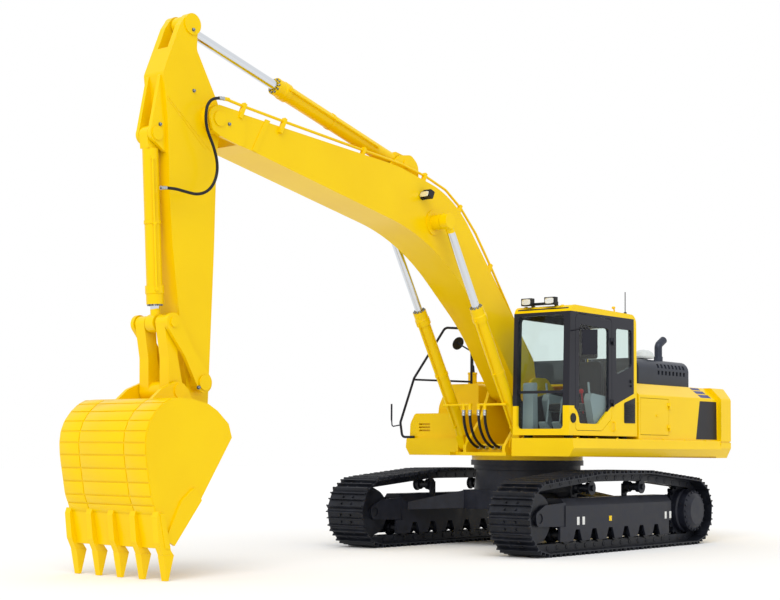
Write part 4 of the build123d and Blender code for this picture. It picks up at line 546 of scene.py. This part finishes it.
def seen(node, across, down):
    """Where the camera's ray through a place of the picture meets a modelled part."""
    right, up = camera_axes()
    focal = bpy.context.scene.excavator_stage.lens / SENSOR * PICTURE[0]
    ray = GAZE + right * (across - CENTRE_PIXEL[0]) / focal - up * (down - CENTRE_PIXEL[1]) / focal
    return cast(node, EYE, ray)


# Hoses

def cord(name, points, diameter, body):
    """A hose as one smooth curve through its route's points."""
    curve = bpy.data.curves.new(name, "CURVE")
    curve.dimensions = "3D"
    curve.bevel_depth = diameter / 2
    curve.bevel_resolution = 4
    curve.use_fill_caps = True
    line = curve.splines.new("NURBS")
    line.points.add(len(points) - 1)
    for target, point in zip(line.points, points):
        target.co = (*point, 1.0)
    line.order_u = 3
    line.use_endpoint_u = True
    line.resolution_u = 12
    curve.materials.append(MATERIALS["rubber"])
    thing = bpy.data.objects.new(name, curve)
    bpy.context.scene.collection.objects.link(thing)
    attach(thing, body)
    return thing


def ferrule(shape, place, axis, diameter):
    """A crimped sleeve and its nut on a hose end; the axis points into the hose."""
    r = diameter / 2
    turned(shape, place, axis, (
        (0, r * 1.02), (0, r * 1.25), (0.012, r * 1.3), (0.016, r * 1.16), (0.028, r * 1.16),
        (0.032, r * 1.3), (0.044, r * 1.3), (0.048, r * 1.16), (0.060, r * 1.16), (0.064, r * 1.26),
        (0.072, r * 1.18), (0.074, r)), 20)


def make_hose(name, ends_name, route, y, diameter, body, node):
    """A hose along its route at one distance from the middle, with a ferrule at each end."""
    route = [Vector((x, y, z)) for x, z in route]
    hose = cord(name, route, diameter, body)

    def ends(shape):
        ferrule(shape, route[0], route[1] - route[0], diameter)
        ferrule(shape, route[-1], route[-2] - route[-1], diameter)
    fittings = piece(ends_name, "silver", body, ends)
    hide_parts(node)


def make_hoses():
    """The hose at the arm's head and the four at the boom's foot."""
    make_hose("arm_head_hose", "arm_hose_ferrules", ARM_HOSE, ARM_HOSE_Y, size("head_hose"),
              "arm", "arm_hose")
    for index, y in enumerate(BASE_HOSE_Y, 1):
        make_hose(f"base_hose_{index}", f"base_hose_ferrules_{index}", BASE_HOSE, y, size("base_hose"),
                  "house", "base_hoses")


# Undercarriage

# Plates on the track frames: place in the picture, width and height
WHITE_PLATES = ((578.2, 520.9, 0.055, 0.100), (583.6, 520.6, 0.055, 0.100), (665.6, 515.0, 0.050, 0.095),
                (670.2, 514.6, 0.050, 0.095))
YELLOW_PLATES = ((610.4, 518.2, 0.065, 0.065),)
SHOE_BOLT_SHARES = (0.27, 0.70)
SHOE_BOLT_Y = 0.082
DRIVE_AXLE = (-1.850, 0.462)
DRIVE_BOLTS = 20
DRIVE_BOLT_RING = 0.262


def loop_point(distance):
    """A point of the track's pin loop, from the sprocket's bottom forward and round."""
    slope = (TUMBLER_DISTANCE - TOP_RUN_FLAT) / 2
    ramp = math.hypot(slope, TOP_RUN_RISE)
    stretches = (TUMBLER_DISTANCE, math.pi * PITCH_RADIUS, ramp, TOP_RUN_FLAT, ramp, math.pi * PITCH_RADIUS)
    index = 0
    while distance > stretches[index] and index < 5:
        distance -= stretches[index]
        index += 1
    share = distance / stretches[index]
    end, flat = TUMBLER_DISTANCE / 2, TOP_RUN_FLAT / 2
    axle, top = PIN_HEIGHT + PITCH_RADIUS, PIN_HEIGHT + 2 * PITCH_RADIUS
    if index == 0:
        return Vector((-end + distance, 0, PIN_HEIGHT))
    if index in (1, 5):
        side = 1 if index == 1 else -1
        angle = math.pi * share - math.pi / 2 if side == 1 else math.pi / 2 + math.pi * share
        return Vector((side * end + PITCH_RADIUS * math.cos(angle), 0, axle + PITCH_RADIUS * math.sin(angle)))
    if index == 2:
        return Vector((end - slope * share, 0, top + TOP_RUN_RISE * share))
    if index == 3:
        return Vector((flat - distance, 0, top + TOP_RUN_RISE))
    return Vector((-flat - slope * share, 0, top + TOP_RUN_RISE * (1 - share)))


def loop_pins():
    """Where the chain's pins lie."""
    slope = (TUMBLER_DISTANCE - TOP_RUN_FLAT) / 2
    length = (TUMBLER_DISTANCE + TOP_RUN_FLAT + 2 * math.hypot(slope, TOP_RUN_RISE)
              + 2 * math.pi * PITCH_RADIUS)
    return [loop_point(length * i / SHOES) for i in range(SHOES)]


def make_undercarriage():
    """Bolts and pins of the tracks, plates on the frames, bolts of the drives."""
    pins = loop_pins()
    across_shoe_bolt = size("shoe_bolt")

    def shoe_bolts(shape):
        for i, pin in enumerate(pins):
            run = pins[(i + 1) % SHOES] - pin
            out = Vector((run.z, 0, -run.x)).normalized()
            for share in SHOE_BOLT_SHARES:
                for side in (-1, 1):
                    for rail in (-1, 1):
                        place = pin + run * share + out * SHOE_FACE
                        place.y = side * GAUGE / 2 + rail * SHOE_BOLT_Y
                        bolt(shape, place, out, across_shoe_bolt)
    piece("shoe_bolts", "track", "undercarriage", shoe_bolts)

    def pin_ends(shape):
        for pin in pins:
            for side in (-1, 1):
                for rail in (-1, 1):
                    face = side * GAUGE / 2 + rail * RAIL_FACE_Y[1]
                    turned(shape, (pin.x, face - rail * 0.002, pin.z), (0, rail, 0), (
                        (0, 0.033), (0.007, 0.031), (0.008, 0.020), (0.005, 0.018), (0.005, 0.004)), 16)
    piece("chain_pin_ends", "track", "undercarriage", pin_ends)

    def plates(table):
        def build(shape):
            for across, down, wide, high in table:
                place, normal = seen("track_frames", across, down)
                corners = [place + Vector((i * wide / 2, 0, k * high / 2))
                           for i, k in ((-1, -1), (1, -1), (1, 1), (-1, 1))]
                prism(shape, corners, normal * 0.003, 0.001)
        return build
    piece("white_side_plates", "white", "undercarriage", plates(WHITE_PLATES))
    piece("yellow_side_plate", "yellow", "undercarriage", plates(YELLOW_PLATES))

    def drive_bolts(shape):
        for side in (-1, 1):
            for i in range(DRIVE_BOLTS):
                turn = 2 * math.pi * i / DRIVE_BOLTS
                origin = (DRIVE_AXLE[0] + DRIVE_BOLT_RING * math.cos(turn), side * 2.2,
                          DRIVE_AXLE[1] + DRIVE_BOLT_RING * math.sin(turn))
                place, normal = cast("final_drives", origin, (0, -side, 0))
                bolt(shape, place, (0, side, 0), 0.022)
    piece("final_drive_bolts", "frame", "undercarriage", drive_bolts)


# Boom, arm and bucket

GLAND_BOLTS = 10
PLATE_GAP = 0.007
PLATE_THICKNESS = 0.008
# Lock bolts of the pins: modelled part, place in the picture, width over the flats
ROCKER_BOLTS = (("rocker_links", 198.3, 387.5, 0.030),)
ARM_BOLTS = (("arm", 200.0, 364.5, 0.020), ("arm", 160.0, 124.2, 0.028), ("arm", 193.3, 29.7, 0.028),
             ("arm", 193.8, 90.8, 0.028))
BOOM_BOLTS = (("boom", 229.2, 124.2, 0.028),)
# Welded seams on the arm's cheek, from and to a place in the picture
ARM_SEAMS = (((167.5, 95.8), (210.8, 151.7)), ((167.5, 98.5), (205.0, 149.0)))
SEAM_STEPS = 12


def make_linkage():
    """Gland bolts, wear plates, lock bolts and weld seams of the working gear."""
    across = Vector((0, 1, 0))
    for body, foot, eye, sides, share, gland in CYLINDERS:
        start, end = Vector((foot[0], 0, foot[1])), Vector((eye[0], 0, eye[1]))
        line = (end - start).normalized()

        def bolts(shape):
            up = line.cross(across)
            for y in sides:
                face = start + (end - start) * share + across * y
                for i in range(GLAND_BOLTS):
                    turn = 2 * math.pi * (i + 0.5) / GLAND_BOLTS
                    place = face + (up * math.cos(turn) + across * math.sin(turn)) * gland
                    turned(shape, place - line * 0.002, line,
                           ((0, 0.012), (0.016, 0.012), (0.018, 0.010)), 12)
        piece(f"{body}_gland_bolts", "bolt", body, bolts)

    x0, z0 = BUCKET_PIN.x, BUCKET_PIN.z

    def wear_plates(shape):
        for (ax, az), (bx, bz) in zip(BUCKET_ROWS, BUCKET_ROWS[1:]):
            a, b = Vector((x0 + ax, 0, z0 + az)), Vector((x0 + bx, 0, z0 + bz))
            run = (b - a).normalized()
            out = Vector((-run.z, 0, run.x))
            a, b = a + run * PLATE_GAP, b - run * PLATE_GAP
            corners = (a - out * 0.002, b - out * 0.002, b + out * PLATE_THICKNESS, a + out * PLATE_THICKNESS)
            for low, high in BUCKET_COLUMNS:
                prism(shape, [(c.x, low, c.z) for c in corners], (0, high - low, 0), 0.002)
    piece("bucket_wear_plates", "yellow", "bucket", wear_plates)

    def heads(table):
        def build(shape):
            for node, px, py, wide in table:
                place, normal = seen(node, px, py)
                bolt(shape, place, normal, wide)
        return build
    piece("rocker_lock_bolts", "bolt", "rocker_links", heads(ROCKER_BOLTS))
    piece("arm_lock_bolts", "bolt", "arm", heads(ARM_BOLTS))
    piece("boom_lock_bolts", "bolt", "boom", heads(BOOM_BOLTS))

    def beads(shape):
        for (px, py), (qx, qy) in ARM_SEAMS:
            shares = [i / SEAM_STEPS for i in range(SEAM_STEPS + 1)]
            run = [seen("arm", px + (qx - px) * share, py + (qy - py) * share) for share in shares]
            tube(shape, [place + normal * 0.001 for place, normal in run], 0.004, 6)
    piece("arm_weld_beads", "yellow", "arm", beads)


# Revolving body

STRIPE_FRONT = -2.285
# Stripes on the slope: lower and upper edge as shares of the slope, and rear end
STRIPES = ((0.06, 0.33, -2.592), (0.42, 0.66, -2.566), (0.75, 0.93, -2.540))
# Dark films: front edge low and high on the left side and on the right, where the door reaches further back
LEFT_FILM_FRONT = ((-2.111, 1.452), (-2.224, 1.995))
RIGHT_FILM_FRONT = ((-2.262, 1.452), (-2.292, 1.995))
FILM_REAR = ((-2.722, 1.995), (-2.735, 1.452))
# Filler caps: part, place and radius
FILLER_CAPS = (("left_side_body", -0.740, 1.150, 0.045), ("fuel_tank", -0.300, -1.000, 0.070),
               ("hydraulic_tank", -0.900, -1.000, 0.060))
LATCH_X = (-1.000, -1.040)
LATCH_Z = 1.760
DECK_BOLT_X = (-2.300, -1.700, -1.100, -0.500, 0.100, 0.600, 1.050)
DECK_BOLT_Y = 1.475
RIGHT_DECK_END = 0.700


def mirrored(points):
    return [(x, -y, z) for x, y, z in reversed(points)]


def film(shape, corners, out):
    """A thin flat film on a face, its edges let into the paint."""
    out = Vector(out).normalized()
    sunk = 0.0005
    prism(shape, [Vector(c) - out * sunk for c in corners], out * (size("film") + sunk))


def make_house():
    """Stripes, dark films, filler caps, latches and deck bolts."""
    slope_out = Vector((0, BODY_TOP - BODY_FOLD, BODY_SLOPE)).normalized()

    def stripes(shape):
        for low, high, back in STRIPES:
            corners = [(x, BODY_LEFT - BODY_SLOPE * t, BODY_FOLD + (BODY_TOP - BODY_FOLD) * t)
                       for x, t in ((STRIPE_FRONT, low), (STRIPE_FRONT, high), (back, high), (back, low))]
            film(shape, corners, slope_out)
            film(shape, mirrored(corners), (slope_out.x, -slope_out.y, slope_out.z))
    piece("body_stripes", "blue", "house", stripes)

    def panels(shape):
        left, right = ([(x, BODY_LEFT, z) for x, z in front + FILM_REAR]
                       for front in (LEFT_FILM_FRONT, RIGHT_FILM_FRONT))
        film(shape, left, (0, 1, 0))
        film(shape, mirrored(right), (0, -1, 0))
    piece("body_dark_panels", "panel", "house", panels)

    def fittings(shape):
        for node, x, y, r in FILLER_CAPS:
            place, normal = cast(node, (x, y, 3.2), (0, 0, -1))
            cap = ((0, r * 1.25), (0.010, r * 1.25), (0.014, r), (0.045, r),
                   (0.055, r * 0.85), (0.058, r * 0.3))
            turned(shape, place - normal * 0.002, normal, cap, 32)
        for x in LATCH_X:
            place, normal = cast("left_side_door", (x, 2.0, LATCH_Z), (0, -1, 0))
            turned(shape, place, normal, ((-0.002, 0.018), (0.008, 0.018), (0.010, 0.010)), 20)
    piece("filler_caps_and_latches", "yellow", "house", fittings)

    def deck_bolts(shape):
        for x in DECK_BOLT_X:
            for side in (-1, 1):
                if side > 0 or x < RIGHT_DECK_END:
                    place, normal = cast("revolving_frame", (x, side * DECK_BOLT_Y, 3.0), (0, 0, -1))
                    bolt(shape, place, normal, 0.020)
    piece("deck_bolts", "yellow", "house", deck_bolts)


# Cab

# Seat parts: low and high corner, crown, places of the sewn channels
SEAT_PAD = ((0.107, 0.722, 1.776), (0.647, 1.238, 1.901), 0.012, (-0.55, 0.55, 0.0))
BACK_PAD = ((-0.040, 0.744, 1.800), (0.088, 1.216, 2.470), 0.012, (-0.55, 0.55))
HEAD_PAD = ((-0.050, 0.852, 2.490), (0.045, 1.108, 2.716), 0.010, ())
PAD_CUTS = 20
POST_Y = (0.930, 1.030)
# Vent in the cab's side: outline, and its slats from the lowest up
VENT = ((-0.452, 1.648), (-0.187, 1.645), (-0.172, 1.658), (-0.172, 1.900), (-0.192, 1.918), (-0.452, 1.985))
SLATS = 9
SLAT_START = (-0.438, 1.666)
SLAT_PITCH = 0.0275
SLAT_LENGTH = 0.250
PLUG_PLACE = (1.060, 1.690)
KNOBS = ((2.200, 0.024), (2.140, 0.016))
KNOB_X = -0.350
STEP_HANDLE_X = 0.103
STEP_HANDLE = ((1.412, 1.540), (1.440, 1.543), (1.454, 1.557), (1.454, 1.640), (1.440, 1.654), (1.412, 1.657))
ROOF_PLUGS = ((1.060, 0.700), (1.060, 1.250))
CAB_LAMP_Y = (0.761, 1.114)
CAB_LAMP_FACE = (1.1415, 3.170)
BOOM_LAMP_RAY = (5.0, 0.325, 4.392)


def cushion(name, low, high, crown, channels, face="z"):
    """A padded seat part: rounded block, crowned face, sides drawn in between the corners, sewn channels."""
    low, high = Vector(low), Vector(high)
    centre, half = (low + high) / 2, (high - low) / 2

    def build(shape):
        bmesh.ops.create_cube(shape, size=2.0)
        bmesh.ops.subdivide_edges(shape, edges=shape.edges[:], cuts=PAD_CUTS, use_grid_fill=True)
        for vert in shape.verts:
            p = vert.co.copy()
            k = (abs(p.x) ** 7 + abs(p.y) ** 7 + abs(p.z) ** 7) ** (1 / 7)
            q = p / k
            if face == "z":
                u, v, w = q.x, q.y, q.z
            else:
                u, v, w = q.z, q.y, q.x
            drawn = 1 - 0.05 * (1 - v * v) * abs(u) - 0.05 * (1 - u * u) * abs(v)
            rise = crown * (1 - u ** 4) * (1 - v ** 4) * max(w, 0)
            for place in channels:
                rise -= 0.008 * math.exp(-((v - place) / 0.035) ** 2) * max(w, 0)
            u, v = u * drawn, v * drawn
            if face == "z":
                vert.co = centre + Vector((u * half.x, v * half.y, w * (half.z - crown) + rise))
            else:
                vert.co = centre + Vector((w * (half.x - crown) + rise, v * half.y, u * half.z))
    thing = piece(name, "cloth", "house", build, 180)
    smooth = thing.modifiers.new("smooth", "SUBSURF")
    smooth.levels = smooth.render_levels = 1
    return thing


def make_cab():
    """Seat pads, vent, knobs, handle, lamp lenses and the red lever."""
    seat = cushion("seat_pad", *SEAT_PAD)
    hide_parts("seat_cushion")
    back = cushion("back_pad", *BACK_PAD, "x")
    head = cushion("head_pad", *HEAD_PAD, "x")
    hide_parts("seat_back")
    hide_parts("seat_back")

    def posts(shape):
        for y in POST_Y:
            tube(shape, [(0.000, y, 2.455), (0.000, y, 2.510)], 0.006)
    piece("head_pad_posts", "bolt", "house", posts)

    def vent(shape):
        prism(shape, [(x, CAB_LEFT - 0.002, z) for x, z in VENT], (0, 0.008, 0), 0.003)
        for i in range(SLATS):
            x, z = SLAT_START[0], SLAT_START[1] + SLAT_PITCH * i
            edges = ((0.005, 0.0), (0.015, 0.004), (0.005, 0.014))
            slat = [(x, CAB_LEFT + out, z + rise) for out, rise in edges]
            prism(shape, slat, (SLAT_LENGTH, 0, 0), 0.001)
    piece("cab_side_vent", "plastic", "house", vent)

    def knobs(shape):
        place, normal = cast("cab_shell", (PLUG_PLACE[0], 2.0, PLUG_PLACE[1]), (0, -1, 0))
        rings = ((-0.002, 0.062), (0.010, 0.060), (0.014, 0.050), (0.008, 0.044), (0.008, 0.010))
        turned(shape, place, normal, rings, 32)
        for z, r in KNOBS:
            place, normal = cast("cab_shell", (KNOB_X, 2.0, z), (0, -1, 0))
            turned(shape, place, normal, ((-0.002, r), (0.012, r), (0.020, r * 0.6)), 20)
    piece("cab_side_knobs", "plastic", "house", knobs)

    def handle(shape):
        tube(shape, [(STEP_HANDLE_X, y, z) for y, z in STEP_HANDLE], 0.009)
    piece("cab_step_handle", "yellow", "house", handle)

    def roof_knob(shape):
        tube(shape, [(-0.120, 1.300, 3.090), (-0.120, 1.300, 3.135), (-0.100, 1.300, 3.160)], 0.010)
        knob = ((0, 0.014), (0.008, 0.024), (0.024, 0.024), (0.032, 0.014))
        turned(shape, (-0.100, 1.300, 3.150), (0, 0, 1), knob)
        for x, y in ROOF_PLUGS:
            place, normal = cast("cab_shell", (x, y, 3.6), (0, 0, -1))
            turned(shape, place, normal, ((-0.002, 0.030), (0.006, 0.030), (0.012, 0.018)), 20)
    piece("roof_knob", "yellow", "house", roof_knob)

    def cab_lenses(shape):
        x, z = CAB_LAMP_FACE
        for y in CAB_LAMP_Y:
            prism(shape, lens_outline((x, y, z), (0, 1, 0), (0, 0, 1), 0.064, 0.036), (0.006, 0, 0), 0.0025)
    piece("cab_lamp_lenses", "lens", "house", cab_lenses)

    def boom_lens(shape):
        place, normal = cast("boom_lamp", BOOM_LAMP_RAY, (-1, 0, 0))
        side = Vector((0, 1, 0))
        rise = side.cross(normal).normalized()
        outline = lens_outline(place - normal * 0.0005, side, rise, 0.062, 0.036)
        prism(shape, outline, normal * 0.006, 0.0025)
    piece("boom_lamp_lens", "lens", "boom", boom_lens)

    def lever(shape):
        tube(shape, [(0.470, 1.190, 1.760), (0.475, 1.190, 1.900), (0.500, 1.185, 2.020)], 0.012)
        grip = ((0, 0.012), (0.010, 0.026), (0.040, 0.030), (0.062, 0.016))
        turned(shape, (0.500, 1.185, 2.015), (0.15, 0, 1), grip)
    piece("safety_lever", "red", "house", lever)


# What a user may change

def length(label, text, default):
    """A length that the user may change."""
    return FloatProperty(name=label, description=text, default=default, min=0.0005, precision=4,
                         unit="LENGTH")


def colour(label, text, code):
    """A colour that the user may change, from its sRGB hex."""
    return FloatVectorProperty(name=label, description=text, default=linear(code)[:3], min=0, max=1,
                               subtype="COLOR")


class ExcavatorStage(bpy.types.PropertyGroup):
    """Camera and light."""
    lens: FloatProperty(
        name="Lens", description="Focal length over a 36 mm sensor", default=69.46, min=10, unit="CAMERA")
    lamp_level: FloatProperty(
        name="Lamp level", description="Strength of the key light", default=1.45, min=0)


class ExcavatorColours(bpy.types.PropertyGroup):
    """Paints of the machine, and the floor."""
    body: colour("Body paint", "Enamel on the working gear and the revolving body", "#F2CB00")
    cab: colour("Cab paint", "Dark enamel on the cab's pillars and door", "#24252D")
    hood: colour("Hood paint", "Enamel on the engine hood", "#353A46")
    floor: colour("Floor", "Colour of the studio floor", "#FAFAFA")


class ExcavatorSizes(bpy.types.PropertyGroup):
    """Sizes of the small pieces."""
    head_hose: length("Head hose", "Outer diameter of the hose at the arm's head", 0.032)
    base_hose: length("Base hoses", "Outer diameter of the hoses at the boom's foot", 0.038)
    shoe_bolt: length("Shoe bolts", "Width over the flats of the track shoes' bolts", 0.026)
    film: length("Films", "Thickness of the stripes and dark films", 0.0012)


class EXCAVATOR_OT_stage(bpy.types.Operator):
    """Camera, floor, lamps and world"""
    bl_idname = "excavator.stage"
    bl_label = "Stage"

    def execute(self, context):
        settings = context.scene.excavator_stage
        make_camera(context.scene, settings)
        make_floor(context.scene.excavator_colours)
        make_lamps(settings)
        make_world(context.scene)
        context.scene.view_settings.view_transform = "Standard"
        return {"FINISHED"}


def camera_axes():
    """Right and up of the camera."""
    right = GAZE.cross(Vector((0, 0, 1))).normalized()
    up = right.cross(GAZE)
    return (right * math.cos(ROLL) + up * math.sin(ROLL), up * math.cos(ROLL) - right * math.sin(ROLL))


def make_camera(scene, settings):
    """The photograph's view."""
    camera = bpy.data.cameras.new("camera")
    camera.sensor_width = SENSOR
    camera.lens = settings.lens
    camera.shift_x = (PICTURE[0] / 2 - CENTRE_PIXEL[0]) / PICTURE[0]
    camera.shift_y = (CENTRE_PIXEL[1] - PICTURE[1] / 2) / PICTURE[0]
    camera.clip_end = 200
    body = bpy.data.objects.new("camera", camera)
    right, up = camera_axes()
    body.matrix_world = Matrix.Translation(EYE) @ Matrix((right, up, -GAZE)).transposed().to_4x4()
    scene.collection.objects.link(body)
    scene.camera = body


def make_floor(colours):
    """A wide pale floor that keeps the shadow."""
    mesh = bpy.data.meshes.new("floor")
    corners = [(x * FLOOR_HALF, y * FLOOR_HALF, 0) for x, y in ((-1, -1), (1, -1), (1, 1), (-1, 1))]
    mesh.from_pydata(corners, [], [(0, 1, 2, 3)])
    floor = bpy.data.objects.new("floor", mesh)
    bpy.context.scene.collection.objects.link(floor)
    # flat matt paint, so pale that it meets the white background without an edge
    material, tree = new_material("pale_studio_floor")
    plain = add(tree, "ShaderNodeBsdfDiffuse", {"Color": (*colours.floor, 1.0)})
    close_material(tree, plain.outputs["BSDF"])
    mesh.materials.append(material)


def make_lamps(settings):
    """A broad soft key from over the camera's right shoulder."""
    lamp = bpy.data.lights.new("key", "SUN")
    lamp.energy = settings.lamp_level
    lamp.angle = KEY_SPREAD
    body = bpy.data.objects.new("key", lamp)
    body.rotation_mode = "QUATERNION"
    body.rotation_quaternion = Vector(KEY_DIRECTION).to_track_quat("-Z", "Y")
    bpy.context.scene.collection.objects.link(body)


def make_world(scene):
    """Soft light from all round, and a white background for the camera, in reflections and through panes."""
    world = bpy.data.worlds.new("studio")
    world.use_nodes = True
    tree = world.node_tree
    tree.nodes.clear()
    path = add(tree, "ShaderNodeLightPath")
    shown = path.outputs["Is Camera Ray"]
    for ray in ("Is Glossy Ray", "Is Transmission Ray"):
        shown = add(tree, "ShaderNodeMath", {0: shown, 1: path.outputs[ray]}, operation="MAXIMUM").outputs[0]
    light = add(tree, "ShaderNodeBackground", {"Color": linear("#FFFFFF"), "Strength": WORLD_LEVEL})
    white = add(tree, "ShaderNodeBackground", {"Color": linear("#FFFFFF"), "Strength": 1.0})
    mix = add(tree, "ShaderNodeMixShader", {0: shown, 1: light.outputs[0], 2: white.outputs[0]})
    add(tree, "ShaderNodeOutputWorld", {"Surface": mix.outputs[0]})
    scene.world = world


class EXCAVATOR_OT_finishes(bpy.types.Operator):
    """Every material, and the finish of each modelled part"""
    bl_idname = "excavator.finishes"
    bl_label = "Finishes"

    def execute(self, context):
        make_materials()
        finish_nodes()
        return {"FINISHED"}


class EXCAVATOR_OT_hoses(bpy.types.Operator):
    """Hoses at the arm's head and at the boom's foot, with their ferrules"""
    bl_idname = "excavator.hoses"
    bl_label = "Hoses"

    def execute(self, context):
        make_hoses()
        return {"FINISHED"}


class EXCAVATOR_OT_undercarriage(bpy.types.Operator):
    """Bolts and pins of the tracks and drives"""
    bl_idname = "excavator.undercarriage"
    bl_label = "Undercarriage"

    def execute(self, context):
        make_undercarriage()
        return {"FINISHED"}


class EXCAVATOR_OT_linkage(bpy.types.Operator):
    """Wear plates, gland bolts, lock bolts and weld seams of the working gear"""
    bl_idname = "excavator.linkage"
    bl_label = "Working gear"

    def execute(self, context):
        make_linkage()
        return {"FINISHED"}


class EXCAVATOR_OT_house(bpy.types.Operator):
    """Stripes, dark films, caps and bolts of the revolving body"""
    bl_idname = "excavator.house"
    bl_label = "Revolving body"

    def execute(self, context):
        make_house()
        return {"FINISHED"}


class EXCAVATOR_OT_cab(bpy.types.Operator):
    """Seat pads, lamp lenses and controls of the cab"""
    bl_idname = "excavator.cab"
    bl_label = "Cab"

    def execute(self, context):
        make_cab()
        return {"FINISHED"}


class EXCAVATOR_PT_panel(bpy.types.Panel):
    """Buttons for each group of pieces"""
    bl_label = "Crawler excavator"
    bl_space_type = "VIEW_3D"
    bl_region_type = "UI"
    bl_category = "Excavator"

    def draw(self, context):
        for operator in OPERATORS:
            self.layout.operator(operator.bl_idname)
        for group in GROUPS:
            settings = getattr(context.scene, group)
            for name in GROUPS[group].__annotations__:
                self.layout.prop(settings, name)


OPERATORS = (EXCAVATOR_OT_finishes, EXCAVATOR_OT_stage, EXCAVATOR_OT_hoses, EXCAVATOR_OT_undercarriage,
             EXCAVATOR_OT_linkage, EXCAVATOR_OT_house, EXCAVATOR_OT_cab)
GROUPS = {"excavator_stage": ExcavatorStage, "excavator_colours": ExcavatorColours,
          "excavator_sizes": ExcavatorSizes}
CLASSES = (*GROUPS.values(), *OPERATORS, EXCAVATOR_PT_panel)


def register():
    for item in CLASSES:
        bpy.utils.register_class(item)
    for name, group in GROUPS.items():
        setattr(bpy.types.Scene, name, PointerProperty(type=group))


def unregister():
    for name in GROUPS:
        delattr(bpy.types.Scene, name)
    for item in reversed(CLASSES):
        bpy.utils.unregister_class(item)


def main():
    """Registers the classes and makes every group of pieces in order."""
    register()
    for operator in OPERATORS:
        group, name = operator.bl_idname.split(".")
        getattr(getattr(bpy.ops, group), name)()


if __name__ == "__main__":
    main()
